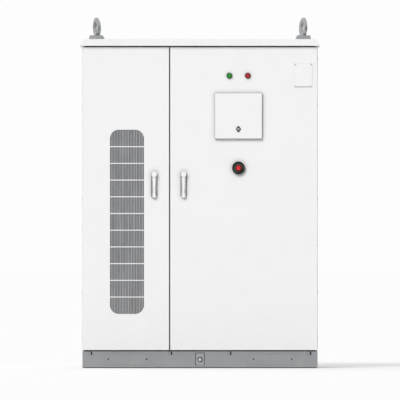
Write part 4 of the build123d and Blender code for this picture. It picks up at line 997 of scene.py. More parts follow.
def settle(
    name: str, mesh: bmesh.types.BMesh, body: str, slot: Slot, *materials: bpy.types.Material
) -> bpy.types.Object:
    """Turns a bmesh into a piece that rides on a body.

    Args:
        name: The piece's name.
        mesh: Its faces.
        body: CAD body that it rides on.
        slot: Record's material slot; not used.
        materials: Its finishes.

    Returns:
        The new object.
    """
    for face in mesh.faces:
        face.smooth = True
    for edge in mesh.edges:
        edge.smooth = len(edge.link_faces) == 2 and edge.calc_face_angle(math.pi) < Shaper.SHARP
    data = bpy.data.meshes.new(name)
    mesh.to_mesh(data)
    mesh.free()
    for material in materials:
        data.materials.append(material)
    made = bpy.data.objects.new(name, data)
    bpy.context.scene.collection.objects.link(made)
    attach(made, body)
    log.info("%s: %d faces on %s", name, len(data.polygons), body)
    return made


class Pattern:
    """A Geometry Nodes tree that repeats a shape, baked into plain meshes."""

    KINDS = {int: "NodeSocketInt", float: "NodeSocketFloat", tuple: "NodeSocketVector"}

    def __init__(self, name: str, sizes: dict[str, object]) -> None:
        """Opens the tree.

        Args:
            name: The tree's name.
            sizes: Input name to default value; None stands for a shape to repeat.
        """
        self.tree = bpy.data.node_groups.new(name, "GeometryNodeTree")
        self.wires = Wiring(self.tree)
        for label, value in sizes.items():
            kind = self.KINDS.get(type(value), "NodeSocketObject")
            socket = self.tree.interface.new_socket(label, in_out="INPUT", socket_type=kind)
            if value is not None:
                socket.default_value = value
        self.tree.interface.new_socket("Finish", in_out="INPUT", socket_type="NodeSocketMaterial")
        self.tree.interface.new_socket(
            "Geometry", in_out="OUTPUT", socket_type="NodeSocketGeometry"
        )
        self.given = self.wires.node("NodeGroupInput").outputs

    def close(self, geometry: bpy.types.NodeSocket) -> None:
        """Realizes the instances, sets the finish and ends the tree.

        Args:
            geometry: What the tree gives out.
        """
        real = self.wires.node("GeometryNodeRealizeInstances", {"Geometry": geometry}).outputs[0]
        feeds = {"Geometry": real, "Material": self.given["Finish"]}
        painted = self.wires.node("GeometryNodeSetMaterial", feeds).outputs[0]
        self.wires.node("NodeGroupOutput", {"Geometry": painted})

    def grow(self, finish: bpy.types.Material, **sizes: object) -> bpy.types.Mesh:
        """Runs the tree once.

        Args:
            finish: Material of the result.
            sizes: Input values; an underscore stands for a space in a name.

        Returns:
            The plain mesh.
        """
        host = bpy.data.objects.new("pattern_host", bpy.data.meshes.new("pattern_host"))
        bpy.context.scene.collection.objects.link(host)
        modifier = host.modifiers.new("pattern", "NODES")
        modifier.node_group = self.tree
        values = {label.replace("_", " "): value for label, value in sizes.items()}
        values["Finish"] = finish
        for item in self.tree.interface.items_tree:
            if item.in_out == "INPUT" and item.name in values:
                modifier[item.identifier] = values[item.name]
        graph = bpy.context.evaluated_depsgraph_get()
        grown = bpy.data.meshes.new_from_object(host.evaluated_get(graph), depsgraph=graph)
        host.modifiers.remove(modifier)
        bpy.data.objects.remove(host)
        return grown

    @staticmethod
    def gather(
        name: str,
        parts: Sequence[bpy.types.Mesh],
        body: str,
        slot: Slot,
        finish: bpy.types.Material,
    ) -> bpy.types.Object:
        """Joins grown meshes into one piece that rides on a body.

        Args:
            name: The finished object's name.
            parts: The grown pieces.
            body: The body that the object moves with.
            slot: The record's slot.
            finish: The material, where it isn't the slot's own.

        Returns:
            The finished object.
        """
        joined = bmesh.new()
        for part in parts:
            joined.from_mesh(part)
            bpy.data.meshes.remove(part)
        for face in joined.faces:
            face.material_index = 0
        bmesh.ops.recalc_face_normals(joined, faces=joined.faces)
        return settle(name, joined, body, slot, finish)


class PatternShop:
    """The trees that the sub-assemblies share."""

    RING_STEPS = 56
    WIRE_STEPS = 6

    def __init__(self) -> None:
        """Builds every tree."""
        self.grid = self._grid()
        self.rings = self._guard_rings()
        self.blades = self._vent_blades()
        self.bars = self._vent_bars()

    @staticmethod
    def _line(wires: Wiring, count: object, start: object, step: object) -> bpy.types.NodeSocket:
        """Returns a row of points."""
        feeds = {"Count": count, "Start Location": start, "Offset": step}
        return wires.node("GeometryNodeMeshLine", feeds).outputs[0]

    def _grid(self) -> Pattern:
        """Builds the tree that puts a shape at every place of a grid, each turned about its axis.

        Returns:
            The pattern.
        """
        sizes = {
            "Shape": None,
            "Start": (0.0, 0.0, 0.0),
            "Columns": 1,
            "Column Step": (0.1, 0.0, 0.0),
            "Rows": 1,
            "Row Step": (0.0, 0.0, 0.1),
            "Axis": (0.0, 1.0, 0.0),
            "Loose Turn": 0.0,
            "Seed": 7,
        }
        made = Pattern("place_on_grid", sizes)
        wires, given = made.wires, made.given
        row = self._line(wires, given["Columns"], given["Start"], given["Column Step"])
        column = self._line(wires, given["Rows"], (0.0, 0.0, 0.0), given["Row Step"])
        feeds = {"Points": column, "Instance": row}
        places = wires.node("GeometryNodeInstanceOnPoints", feeds).outputs[0]
        points = wires.node("GeometryNodeRealizeInstances", {"Geometry": places}).outputs[0]
        shape = wires.node("GeometryNodeObjectInfo", {"Object": given["Shape"]}).outputs["Geometry"]
        feeds = {"Points": points, "Instance": shape}
        copies = wires.node("GeometryNodeInstanceOnPoints", feeds).outputs[0]
        feeds = {"Seed": given["Seed"]}
        chance = wires.node("FunctionNodeRandomValue", feeds, data_type="FLOAT").outputs[1]
        turn = wires.sum("MULTIPLY", chance, given["Loose Turn"])
        feeds = {"Axis": given["Axis"], "Angle": turn}
        turned = wires.node("FunctionNodeAxisAngleToRotation", feeds).outputs[0]
        feeds = {"Instances": copies, "Rotation": turned}
        made.close(wires.node("GeometryNodeRotateInstances", feeds).outputs[0])
        return made

    def _guard_rings(self) -> Pattern:
        """Returns the tree of a fan guard: wire rings of growing radius about the Y axis.

        Returns:
            The pattern.
        """
        sizes = {
            "Centre": (0.0, 0.0, 0.0),
            "Rings": 8,
            "First Radius": 0.02,
            "Ring Pitch": 0.018,
            "Wire Radius": 0.0012,
        }
        made = Pattern("guard_rings", sizes)
        wires, given = made.wires, made.given
        points = self._line(wires, given["Rings"], given["Centre"], (0.0, 0.0, 0.0))
        feeds = {"Resolution": self.RING_STEPS, "Radius": 1.0}
        circle = wires.node("GeometryNodeCurvePrimitiveCircle", feeds).outputs[0]
        index = wires.node("GeometryNodeInputIndex").outputs[0]
        radius = wires.sum("MULTIPLY_ADD", index, given["Ring Pitch"], given["First Radius"])
        feeds = {"Points": points, "Instance": circle, "Scale": radius}
        feeds["Rotation"] = (math.pi / 2, 0.0, 0.0)
        placed = wires.node("GeometryNodeInstanceOnPoints", feeds).outputs[0]
        real = wires.node("GeometryNodeRealizeInstances", {"Geometry": placed}).outputs[0]
        feeds = {"Resolution": self.WIRE_STEPS, "Radius": given["Wire Radius"]}
        wire = wires.node("GeometryNodeCurvePrimitiveCircle", feeds).outputs[0]
        feeds = {"Curve": real, "Profile Curve": wire}
        made.close(wires.node("GeometryNodeCurveToMesh", feeds).outputs[0])
        return made

    @staticmethod
    def _corner_drop(
        wires: Wiring, offset: object, half: object, corner: object
    ) -> bpy.types.NodeSocket:
        """Returns how far a rounded outline lies inside its box at an offset from its middle line.

        Args:
            wires: The tree's wiring.
            offset: How far the place is from the middle.
            half: Half of the opening.
            corner: The corner's radius.

        Returns:
            The drop.
        """
        straight = wires.sum("SUBTRACT", half, corner)
        beyond = wires.sum("SUBTRACT", wires.sum("ABSOLUTE", offset), straight)
        past = wires.sum("MAXIMUM", beyond, 0.0)
        squares = wires.sum(
            "SUBTRACT", wires.sum("POWER", corner, 2.0), wires.sum("POWER", past, 2.0)
        )
        return wires.sum("SUBTRACT", corner, wires.sum("SQRT", wires.sum("MAXIMUM", squares, 0.0)))

    def _ruled(self, name: str, along: int) -> Pattern:
        """Returns a tree of strips whose lengths follow a rounded outline.

        Args:
            name: The tree's name.
            along: Axis that the strips run along, 0 for X and 2 for Z.

        Returns:
            The pattern; its Shape is one unit long along that axis.
        """
        sizes = {
            "Shape": None,
            "Centre": (0.0, 0.0, 0.0),
            "Count": 10,
            "Pitch": 0.01,
            "Half Row": 0.1,
            "Half Length": 0.5,
            "Corner": 0.05,
            "Trim": 0.001,
        }
        made = Pattern(name, sizes)
        wires, given = made.wires, made.given
        index = wires.node("GeometryNodeInputIndex").outputs[0]
        across = "Z" if along == 0 else "X"
        middle = wires.sum("MULTIPLY", wires.sum("SUBTRACT", given["Count"], 1.0), 0.5)
        offset = wires.sum("MULTIPLY", wires.sum("SUBTRACT", index, middle), given["Pitch"])
        drop = self._corner_drop(wires, offset, given["Half Row"], given["Corner"])
        half = wires.sum(
            "SUBTRACT", wires.sum("SUBTRACT", given["Half Length"], drop), given["Trim"]
        )
        points = self._line(wires, given["Count"], given["Centre"], (0.0, 0.0, 0.0))
        shift = wires.node("ShaderNodeCombineXYZ", {across: offset}).outputs[0]
        feeds = {"Geometry": points, "Offset": shift}
        spread = wires.node("GeometryNodeSetPosition", feeds).outputs[0]
        feeds = {0: 1.0, 1: 1.0, 2: 1.0, along: wires.sum("MULTIPLY", half, 2.0)}
        scale = wires.node("ShaderNodeCombineXYZ", feeds).outputs[0]
        shape = wires.node("GeometryNodeObjectInfo", {"Object": given["Shape"]}).outputs["Geometry"]
        feeds = {"Points": spread, "Instance": shape, "Scale": scale}
        made.close(wires.node("GeometryNodeInstanceOnPoints", feeds).outputs[0])
        return made

    def _vent_blades(self) -> Pattern:
        """Returns the tree of the vent's upright blades."""
        return self._ruled("vent_blades", along=2)

    def _vent_bars(self) -> Pattern:
        """Returns the tree of the vent's cross bars."""
        return self._ruled("vent_bars", along=0)


# ---- Sub-assemblies


@dataclass
class Workshop:
    """What the sub-assemblies share: finishes, patterns and the shapes that patterns repeat."""

    palette: Palette
    patterns: PatternShop
    shapes: list = field(default_factory=list)

    SOCKET_SHARE = 0.42
    SOCKET_FLOOR = 0.45

    def shape(self, name: str, build: Callable[[Shaper], None]) -> bpy.types.Object:
        """Makes a shape for a pattern to repeat.

        Args:
            name: Its name.
            build: Adds the faces to a shaper.

        Returns:
            The shape's object, which is cleared away at the end.
        """
        shaper = Shaper(name)
        build(shaper)
        bmesh.ops.recalc_face_normals(shaper.mesh, faces=shaper.mesh.faces)
        data = bpy.data.meshes.new(name)
        shaper.mesh.to_mesh(data)
        shaper.mesh.free()
        made = bpy.data.objects.new(name, data)
        bpy.context.scene.collection.objects.link(made)
        self.shapes.append(made)
        return made

    def screw(self, name: str, frame: Matrix, radius: float, height: float) -> bpy.types.Object:
        """Makes a low screw head with a hexagon socket, standing on the frame's own z = 0.

        Args:
            name: The shape's name.
            frame: The head's place and direction.
            radius: The head's radius.
            height: How far it stands out.

        Returns:
            The shape's object.
        """
        profile = (
            (radius, 0.0),
            (radius, 0.35 * height),
            (0.86 * radius, 0.85 * height),
            (0.62 * radius, height),
        )

        def build(shaper: Shaper) -> None:
            """Adds the head and its socket.

            Args:
                shaper: What gathers the faces.
            """
            outlines = [(round_outline(r, 12), h) for r, h in profile]
            hexagon = self._hexagon(self.SOCKET_SHARE * radius)
            outlines += [(hexagon, height), (hexagon, self.SOCKET_FLOOR * height)]
            shaper.loft([[frame @ Vector((x, y, h)) for x, y in o] for o, h in outlines])

        return self.shape(name, build)

    @staticmethod
    def _hexagon(radius: float) -> list[Point]:
        """Returns a hexagon of twelve points, two close together at each corner."""
        turns = [2 * math.pi * (i // 2) / 6 + (i % 2) * 0.05 for i in range(12)]
        return [(radius * math.cos(a), radius * math.sin(a)) for a in turns]

    def clear(self) -> None:
        """Removes the repeated shapes."""
        for made in self.shapes:
            bpy.data.objects.remove(made)
        self.shapes.clear()


@dataclass
class SheetMetal:
    """Sheet metal of plinth, frame, panels, doors and roof in its CAD shape, with its screws."""

    shop: Workshop
    screw_radius: float = 0.0065
    screw_height: float = 0.0028
    side_x: float = 0.782
    side_columns: tuple[float, float] = (-0.5615, 0.5595)
    rear_y: float = 0.625
    rear_column: float = 0.7575
    first_row: float = 0.1975
    row_pitch: float = 0.31
    rows: int = 7

    OWN = {"roof": Extra.SHADED_ROOF, "earth_bracket": Extra.SHADED_BRACKET, "lamp_bezels": Extra.BEZEL}

    def dress(self, frame: dict) -> None:
        """Gives every CAD node its own finish, or else that of its slot in the record.

        Args:
            frame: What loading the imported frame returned.
        """
        for part in frame["record"]["subparts"]:
            node = frame["nodes"][part["node"]]
            finish = self.OWN.get(part["node"], Slot(part["material_slot"]))
            node.data.materials.clear()
            node.data.materials.append(self.shop.palette[finish])

    def build(self) -> None:
        """Adds the panel screws."""
        grid, paint = self.shop.patterns.grid, self.shop.palette[Slot.BODY]
        rows = {"Rows": self.rows, "Row_Step": (0.0, 0.0, self.row_pitch), "Loose_Turn": math.tau}
        depth = self.side_columns[1] - self.side_columns[0]
        parts = []
        for side in (-1, 1):
            head = self._head(f"side_screw_{side}", Vector((side, 0, 0)))
            start = (side * self.side_x, self.side_columns[0], self.first_row)
            feeds = {"Shape": head, "Start": start, "Columns": 2, "Axis": (1.0, 0.0, 0.0)}
            parts.append(grid.grow(paint, Column_Step=(0.0, depth, 0.0), **feeds, **rows))
        head = self._head("rear_screw", Vector((0, 1, 0)))
        start = (-self.rear_column, self.rear_y, self.first_row)
        feeds = {"Shape": head, "Start": start, "Columns": 2}
        step = (2 * self.rear_column, 0.0, 0.0)
        parts.append(grid.grow(paint, Column_Step=step, **feeds, **rows))
        Pattern.gather("panel_screws", parts, "cabinet", Slot.BODY, paint)

    def _head(self, name: str, outward: Vector) -> bpy.types.Object:
        """Makes a screw head that faces outward."""
        frame = outward.to_track_quat("Z", "Y").to_matrix().to_4x4()
        return self.shop.screw(name, frame, self.screw_radius, self.screw_height)


@dataclass
class PlinthTrim:
    """Small parts on the plinth: a dark strip along the foot as painted contact shadow, slot clips,
    black screw sockets as painted shade and the earth stud's cap.
    """

    shop: Workshop
    half_x: float = 0.772
    half_y: float = 0.615
    shadow_strip_height: float = 0.0055
    shadow_strip_foot: float = 0.0002
    shadow_strip_proud: float = 0.0004
    slot_xs: tuple[float, ...] = (-0.728, -0.197, 0.197, 0.728)
    slot_z: float = 0.0975
    clip_size: tuple[float, float] = (0.015, 0.021)
    clip_shift: float = -0.0045
    clip_sink: float = 0.0035
    screw_x: float = -0.610
    screw_z: float = 0.059
    screw_spacing: float = 0.254
    cover_spacing: float = 0.966
    screw_front: float = 0.6157
    socket_radius: float = 0.006
    stud_z: float = 0.057
    nut_front: float = -0.6265
    washer_front: float = -0.6165

    CLIP = ((0.0, 0.0), (0.0, 0.0015), (0.0005, 0.002))
    SOCKET_HEIGHTS = (-0.0004, 0.0003)
    CAP = (
        (0.0090, -0.0008), (0.0094, 0.0002), (0.0090, 0.0016),
        (0.0076, 0.0034), (0.0052, 0.0048), (0.0022, 0.0055),
    )
    WASHER = ((0.0112, 0.0), (0.0166, 0.0), (0.0163, 0.0004), (0.0112, 0.0004))

    def build(self) -> None:
        """Makes the trim."""
        palette = self.shop.palette
        # Painted shadow: a dark rubber strip along the plinth's foot stands in for the contact
        # shadow on the floor.
        shade_strip = Shaper("floor_seal")
        low, high, front = self.shadow_strip_foot, self.shadow_strip_height, self.shadow_strip_proud
        rings = []
        for proud, z in ((0.0, low), (front, low), (front, high), (0.0, high)):
            x, y = self.half_x + proud, self.half_y + proud
            rings.append([Vector(p) for p in ((-x, -y, z), (x, -y, z), (x, y, z), (-x, y, z))])
        shade_strip.loft(rings, closed=True)
        shade_strip.piece("cabinet", Slot.RUBBER, palette[Slot.RUBBER])
        clips = Shaper("slot_clips")
        for x in self.slot_xs:
            frame = facing_front(x + self.clip_shift, self.clip_sink - self.half_y, self.slot_z)
            clips.slab(frame, self.clip_size, 0.002, self.CLIP)
        clips.piece("cabinet", Slot.PLINTH, palette[Slot.PLINTH])
        self._sockets()
        cap = Shaper("earth_stud_cap")
        cap.turned(facing_front(0, self.nut_front, self.stud_z), self.CAP, steps=32)
        cap.piece("cabinet", Slot.STEEL, palette[Slot.CHROME])
        washer = Shaper("earth_washer_face")
        frame = facing_front(0, self.washer_front, self.stud_z)
        washer.turned(frame, self.WASHER, steps=40, closed=True)
        washer.piece("cabinet", Slot.STEEL, palette[Extra.BEZEL])

    def _sockets(self) -> None:
        """Puts a flat black hexagon, painted shade for the dark of a socket, on every screw of the
        fork pocket covers.
        """
        # Painted shade: each socket is a flat black hexagon, not a hole.
        black, parts = self.shop.palette[Slot.BLACK], []
        for side in (-1, 1):
            frame = Vector((0, side, 0)).to_track_quat("Z", "Y").to_matrix().to_4x4()

            def socket(shaper: Shaper) -> None:
                """Adds one shallow hexagon.

                Args:
                    shaper: What gathers the faces.
                """
                ring = round_outline(self.socket_radius, 6)
                levels = self.SOCKET_HEIGHTS
                shaper.loft([[frame @ Vector((x, y, h)) for x, y in ring] for h in levels])

            feeds = {
                "Shape": self.shop.shape(f"cover_socket_{side}", socket),
                "Start": (self.screw_x, side * self.screw_front, self.screw_z),
                "Columns": 2,
                "Column_Step": (self.screw_spacing, 0.0, 0.0),
                "Rows": 2,
                "Row_Step": (self.cover_spacing, 0.0, 0.0),
                "Loose_Turn": math.tau,
            }
            parts.append(self.shop.patterns.grid.grow(black, **feeds))
        Pattern.gather("cover_sockets", parts, "cabinet", Slot.BLACK, black)


@dataclass
class NamePlate:
    """Dark rivet rims, the folded lower lip of the blank name plate, and dark strips below it and
    at its right side as painted shadow.
    """

    shop: Workshop
    x: float = 0.6875
    z: float = 1.946
    rivet_x: float = 0.053
    rivet_z: float = 0.0725
    rim: float = 0.0052
    front: float = -0.626
    lip: tuple[float, float] = (0.096, 0.0032)
    shadow_strip: float = 0.003
    side_shadow_strip: float = 0.0006
    side_gap: float = 0.006

    RIM = ((0.55, 0.0), (1.0, 0.0), (0.94, 0.0005), (0.55, 0.0005))
    LIP = ((0.0, 0.0), (0.0, 0.0010), (0.0004, 0.0013))
    SHADOW_STRIP = ((0.0, 0.0), (0.0, 0.0003), (0.0001, 0.0004))

    def build(self) -> None:
        """Makes the rims, the lip and the painted shadow strips."""
        rims = Shaper("plate_rivet_rims")
        for side_x in (-1, 1):
            for side_z in (-1, 1):
                x, z = self.x + side_x * self.rivet_x, self.z + side_z * self.rivet_z
                profile = [(self.rim * share, height) for share, height in self.RIM]
                rims.turned(facing_front(x, self.front, z), profile, steps=20, closed=True)
        rims.piece("right_door", Slot.STEEL, self.shop.palette[Extra.BEZEL])
        lip = Shaper("plate_lower_lip")
        frame = facing_front(self.x, self.front, self.z - self.rivet_z)
        lip.slab(frame, self.lip, 0.001, self.LIP)
        lip.piece("right_door", Slot.PLATE, self.shop.palette[Slot.PLATE])
        # Painted shadow: dark strips under the lip and along the right side stand in for the
        # plate's cast shadow.
        shadow_strip = Shaper("plate_gasket")
        low = -self.rivet_z - self.lip[1] / 2 - self.shadow_strip / 2
        right, tall = self.rivet_x + self.side_gap, 2 * (self.rivet_z - self.side_gap)
        strips = ((0.0, low, self.lip[0], self.shadow_strip), (right, 0.0, self.side_shadow_strip, tall))
        for x, z, width, height in strips:
            frame = facing_front(self.x + x, self.front, self.z + z)
            shadow_strip.slab(frame, (width, height), 0.0002, self.SHADOW_STRIP)
        shadow_strip.piece("right_door", Slot.RUBBER, self.shop.palette[Slot.RUBBER])


@dataclass
class VentGrille:
    """Air grille of the left door: a flange, upright blades and flat cross bars."""

    shop: Workshop
    x: float = -0.4855
    z: float = 0.9725
    width: float = 0.225
    height: float = 1.225
    corner: float = 0.058
    flange: float = 0.012
    front: float = -0.6250
    plate_front: float = -0.6230
    back: float = -0.6210
    tuck: float = 0.003
    blade_width: float = 0.0056
    blade_pitch: float = 0.0104
    blades: int = 21
    blade_lip: float = 0.0008
    blade_gap: float = 0.0001
    bar_height: float = 0.007
    bar_pitch: float = 0.111091
    bars: int = 10
    bar_ease: float = 0.0006
    corner_steps: int = 12

    def build(self) -> None:
        """Makes the blades with their flange, and the bars."""
        grille, paint = self.shop.palette[Slot.GRILLE], self.shop.palette[Slot.BODY]
        centre = (self.x, 0.0, self.z)
        outline = {"Centre": centre, "Corner": self.corner}
        blades = self.shop.patterns.blades.grow(
            grille,
            Shape=self.shop.shape("blade", self._blade),
            Count=self.blades,
            Pitch=self.blade_pitch,
            Half_Row=self.width / 2,
            Half_Length=self.height / 2,
            Trim=-self.tuck,
            **outline,
        )
        made = Pattern.gather("vent_blades", [blades], "left_door", Slot.GRILLE, grille)
        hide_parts("vent_grille")
        flange = Shaper("vent_flange")
        self._flange(flange)
        flange.piece("left_door", Slot.GRILLE, grille)
        bars = self.shop.patterns.bars.grow(
            paint,
            Shape=self.shop.shape("cross_bar", self._bar),
            Count=self.bars,
            Pitch=self.bar_pitch,
            Half_Row=self.height / 2,
            Half_Length=self.width / 2,
            Trim=0.0,
            **outline,
        )
        Pattern.gather("vent_bars", [bars], "left_door", Slot.BODY, paint)

    def _blade(self, shaper: Shaper) -> None:
        """Adds a folded blade, one metre long along Z.

        Args:
            shaper: What gathers the faces.
        """
        half, lip = self.blade_width / 2, self.blade_lip
        front = self.plate_front + self.blade_gap
        left = ((-half, self.back), (-half, front + lip), (-half + lip, front))
        section = left + tuple((-x, y) for x, y in reversed(left))
        shaper.loft([[Vector((x, y, z)) for x, y in section] for z in (-0.5, 0.5)])

    def _bar(self, shaper: Shaper) -> None:
        """Adds a cross bar with eased edges, one metre long along X.

        Args:
            shaper: What gathers the faces.
        """
        half, ease = self.bar_height / 2, self.bar_ease
        section = (
            (self.plate_front, -half),
            (self.front + ease, -half),
            (self.front, -half + ease),
            (self.front, half - ease),
            (self.front + ease, half),
            (self.plate_front, half),
        )
        shaper.loft([[Vector((x, y, z)) for y, z in section] for x in (-0.5, 0.5)])

    def _flange(self, shaper: Shaper) -> None:
        """Adds the flat ring behind the door's skin.

        Args:
            shaper: What gathers the faces.
        """
        rings = []
        front, back, wide = self.plate_front, self.back, self.flange
        for grow, y in ((wide, front), (0.0, front), (0.0, back), (wide, back)):
            width, height = self.width + 2 * grow, self.height + 2 * grow
            outline = rounded_outline(width, height, self.corner + grow, self.corner_steps)
            rings.append([Vector((self.x + x, y, self.z + z)) for x, z in outline])
        shaper.loft(rings, closed=True)


@dataclass
class SwingHandle:
    """Swing handle of a door: the CAD hub with a rounded plate and a shaped lever."""

    shop: Workshop
    side: Side
    x: float
    pivot_z: float = 1.2895
    door: float = -0.625
    plate_z: float = 1.2195
    plate_size: tuple[float, float] = (0.043, 0.183)
    joint_radius: float = 0.0225
    top_half: float = 0.016
    waist_half: float = 0.0124
    foot_radius: float = 0.0155
    foot_z: float = -0.141
    waist_share: float = 0.82
    back: float = -0.6336
    pin: tuple[float, float] = (-0.6431, 1.274)
    tongue_half: float = 0.006
    tongue_radius: float = 0.004

    LEVELS = (
        (0.0, 0.0), (0.0, 0.0066), (0.0004, 0.0086), (0.0011, 0.0106), (0.0021, 0.0123),
        (0.0034, 0.0135), (0.0048, 0.0142), (0.0062, 0.0144),
    )

    PLATE_LEVELS = (
        (0.0, 0.0), (0.0, 0.0026), (0.0005, 0.0044), (0.0015, 0.0059), (0.0031, 0.0071),
        (0.0050, 0.0077), (0.0068, 0.0080),
    )

    def build(self) -> None:
        """Makes the back plate and the lever."""
        plate = Shaper(f"{self.side.value}_back_plate")
        frame = facing_front(self.x, self.door, self.plate_z)
        plate.slab(frame, self.plate_size, self.plate_size[0] / 2, self.PLATE_LEVELS)
        # The plate takes the darker copy of the chrome, painted shade for its outline.
        made = plate.piece(
            f"{self.side.value}_door", Slot.CHROME, self.shop.palette[Extra.SHADED_BACK_PLATE]
        )
        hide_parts(f"{self.side.value}_handle_plate")
        shaper = Shaper(f"{self.side.value}_lever_grip")
        frame = facing_front(self.x, self.back, self.pivot_z)
        rings = []
        for inset, height in self.LEVELS:
            rings.append([frame @ Vector((x, z, height)) for x, z in self._outline(inset)])
        shaper.loft(rings)
        self._tongue(shaper)
        made = shaper.piece(f"{self.side.value}_lever", Slot.CHROME, self.shop.palette[Slot.CHROME])
        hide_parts(f"{self.side.value}_handle_lever")

    def _half_width(self, share: float) -> float:
        """Returns half of the lever's width, from its shoulder (0) to its foot (1).

        Args:
            share: Place along the lever, from 0 to 1.

        Returns:
            Half of the width there.
        """
        if share < self.waist_share:
            ease = 0.5 - 0.5 * math.cos(math.pi * share / self.waist_share)
            return self.top_half + (self.waist_half - self.top_half) * ease
        ease = 0.5 - 0.5 * math.cos(math.pi * (share - self.waist_share) / (1 - self.waist_share))
        return self.waist_half + (self.foot_radius - self.waist_half) * ease

    def _outline(self, inset: float) -> list[Point]:
        """Returns the lever's outline about its pivot, anticlockwise from the left shoulder.

        Args:
            inset: How far its sides and foot lie inside the widest outline.

        Returns:
            The points; the top always lies on the joint's arc about the hub.
        """
        top_half, foot_radius = self.top_half - inset, self.foot_radius - inset
        end = math.asin(top_half / self.joint_radius)
        shoulder = -self.joint_radius * math.cos(end)
        shares = [i / 24 for i in range(25)]
        sides = [
            (self._half_width(s) - inset, shoulder + (self.foot_z - shoulder) * s) for s in shares
        ]
        turns = [math.pi + math.pi * i / 16 for i in range(1, 16)]
        foot = [(foot_radius * math.cos(a), self.foot_z + foot_radius * math.sin(a)) for a in turns]
        turns = [end - 2 * end * i / 12 for i in range(1, 12)]
        top = [(self.joint_radius * math.sin(a), -self.joint_radius * math.cos(a)) for a in turns]
        return [(-x, z) for x, z in sides] + foot + sides[::-1] + top

    def _tongue(self, shaper: Shaper) -> None:
        """Adds the tongue that turns on the hub's pin.

        Args:
            shaper: What gathers the faces.
        """
        y, z = self.pin
        turns = [math.pi * i / 8 for i in range(9)]
        section = [
            (y - self.tongue_radius * math.cos(a), z + self.tongue_radius * math.sin(a))
            for a in turns
        ]
        section += [(y + self.tongue_radius, z - 0.013), (y - self.tongue_radius, z - 0.013)]
        ends = (self.x - self.tongue_half, self.x + self.tongue_half)
        shaper.loft([[Vector((x, py, pz)) for py, pz in section] for x in ends])


@dataclass
class EmergencyStop:
    """Guarded stop button: black guard and legend plate, grey collar, red cap."""

    shop: Workshop
    x: float = 0.256
    z: float = 1.331
    door: float = -0.625
    block_front: float = -0.623
    block_length: float = 0.046
    block_size: float = 0.034
    mark_radius: float = 0.0084
    mark_half: float = 0.0011
    mark_foot: float = 0.0361
    mark_top: float = 0.0369
    mark_sweep: float = 2.0

    GUARD = (
        (0.0174, 0.0), (0.0425, 0.0), (0.0425, 0.0182), (0.0421, 0.0194), (0.0412, 0.02),
        (0.0397, 0.02), (0.0388, 0.0194), (0.0385, 0.0182), (0.0385, 0.0035), (0.0174, 0.0035),
    )
    LEGEND = ((0.0282, 0.0034), (0.0336, 0.0034), (0.0334, 0.0040), (0.0282, 0.0040))
    COLLAR = (
        (0.0226, 0.0036), (0.0285, 0.0036), (0.0290, 0.0048), (0.0286, 0.0062),
        (0.0236, 0.0132), (0.0226, 0.0134),
    )
    NECK = (
        (0.00805, 0.0036), (0.0225, 0.0036), (0.0225, 0.0132), (0.0221, 0.0142),
        (0.0178, 0.0194), (0.0170, 0.0200), (0.00805, 0.0200),
    )
    CAP_SIDE = (
        (0.0152, 0.0250), (0.0186, 0.0250), (0.0194, 0.0256), (0.0195, 0.0270), (0.0195, 0.0306),
        (0.0190, 0.0332), (0.0177, 0.0352), (0.0158, 0.0364), (0.0152, 0.0362),
    )
    CAP_FACE = (
        (0.0051, 0.0250), (0.0151, 0.0250), (0.0151, 0.0362), (0.0147, 0.0367),
        (0.0120, 0.0370), (0.0104, 0.0366), (0.0040, 0.0362),
    )

    def build(self) -> None:
        """Makes the guard, the collar and the cap."""
        palette = self.shop.palette
        frame = facing_front(self.x, self.door, self.z)
        guard = Shaper("stop_guard")
        guard.turned(frame, self.GUARD, steps=72, closed=True)
        made = guard.piece("right_door", Slot.BLACK, palette[Slot.BLACK])
        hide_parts("estop_body")
        turned = (
            ("stop_collar", Extra.COLLAR, (self.COLLAR, self.LEGEND)),
            ("stop_neck", Slot.BLACK, (self.NECK,)),
        )
        for name, finish, profiles in turned:
            shaper = Shaper(name)
            for profile in profiles:
                shaper.turned(frame, profile, steps=64, closed=True)
            shaper.piece("right_door", Slot.BLACK, palette[finish])
        block = Shaper("stop_contact_block")
        levels = (
            (0.0008, 0.0),
            (0.0, 0.0008),
            (0.0, self.block_length - 0.0008),
            (0.0008, self.block_length),
        )
        behind = facing_front(self.x, self.block_front + self.block_length, self.z)
        block.slab(behind, (self.block_size, self.block_size), 0.002, levels)
        block.piece("right_door", Slot.BLACK, palette[Slot.BLACK])
        cap = Shaper("stop_cap")
        cap.turned(frame, self.CAP_FACE, steps=64)
        # Painted shade: the cap's rounded rim takes a darker red than its face; the release marks
        # share that dark red.
        cap.turned(frame, self.CAP_SIDE, paint=1, steps=64, closed=True)
        for start in (0.25, 1.25):
            self._release_mark(cap, frame, start * math.pi)
        made = cap.piece("estop_cap", Slot.RED, palette[Slot.RED], palette[Extra.SHADED_CAP_RIM_AND_MARKS])
        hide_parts("estop_cap")

    def _release_mark(self, shaper: Shaper, frame: Matrix, start: float) -> None:
        """Adds one raised curve that shows which way the cap turns to let go.

        Args:
            shaper: The cap's own shaper.
            frame: The cap's placement.
            start: Angle of the curve's wide end, in radians.
        """
        rings = []
        for step in range(13):
            share = step / 12
            angle = start - share * self.mark_sweep
            half = self.mark_half * (1 - 0.8 * share)
            corners = (
                (-half, self.mark_foot),
                (half, self.mark_foot),
                (half, self.mark_top),
                (-half, self.mark_top),
            )
            way = Vector((math.cos(angle), math.sin(angle), 0.0))
            rings.append(
                [frame @ (way * (self.mark_radius + r) + Vector((0.0, 0.0, h))) for r, h in corners]
            )
        shaper.loft(rings, paint=1)


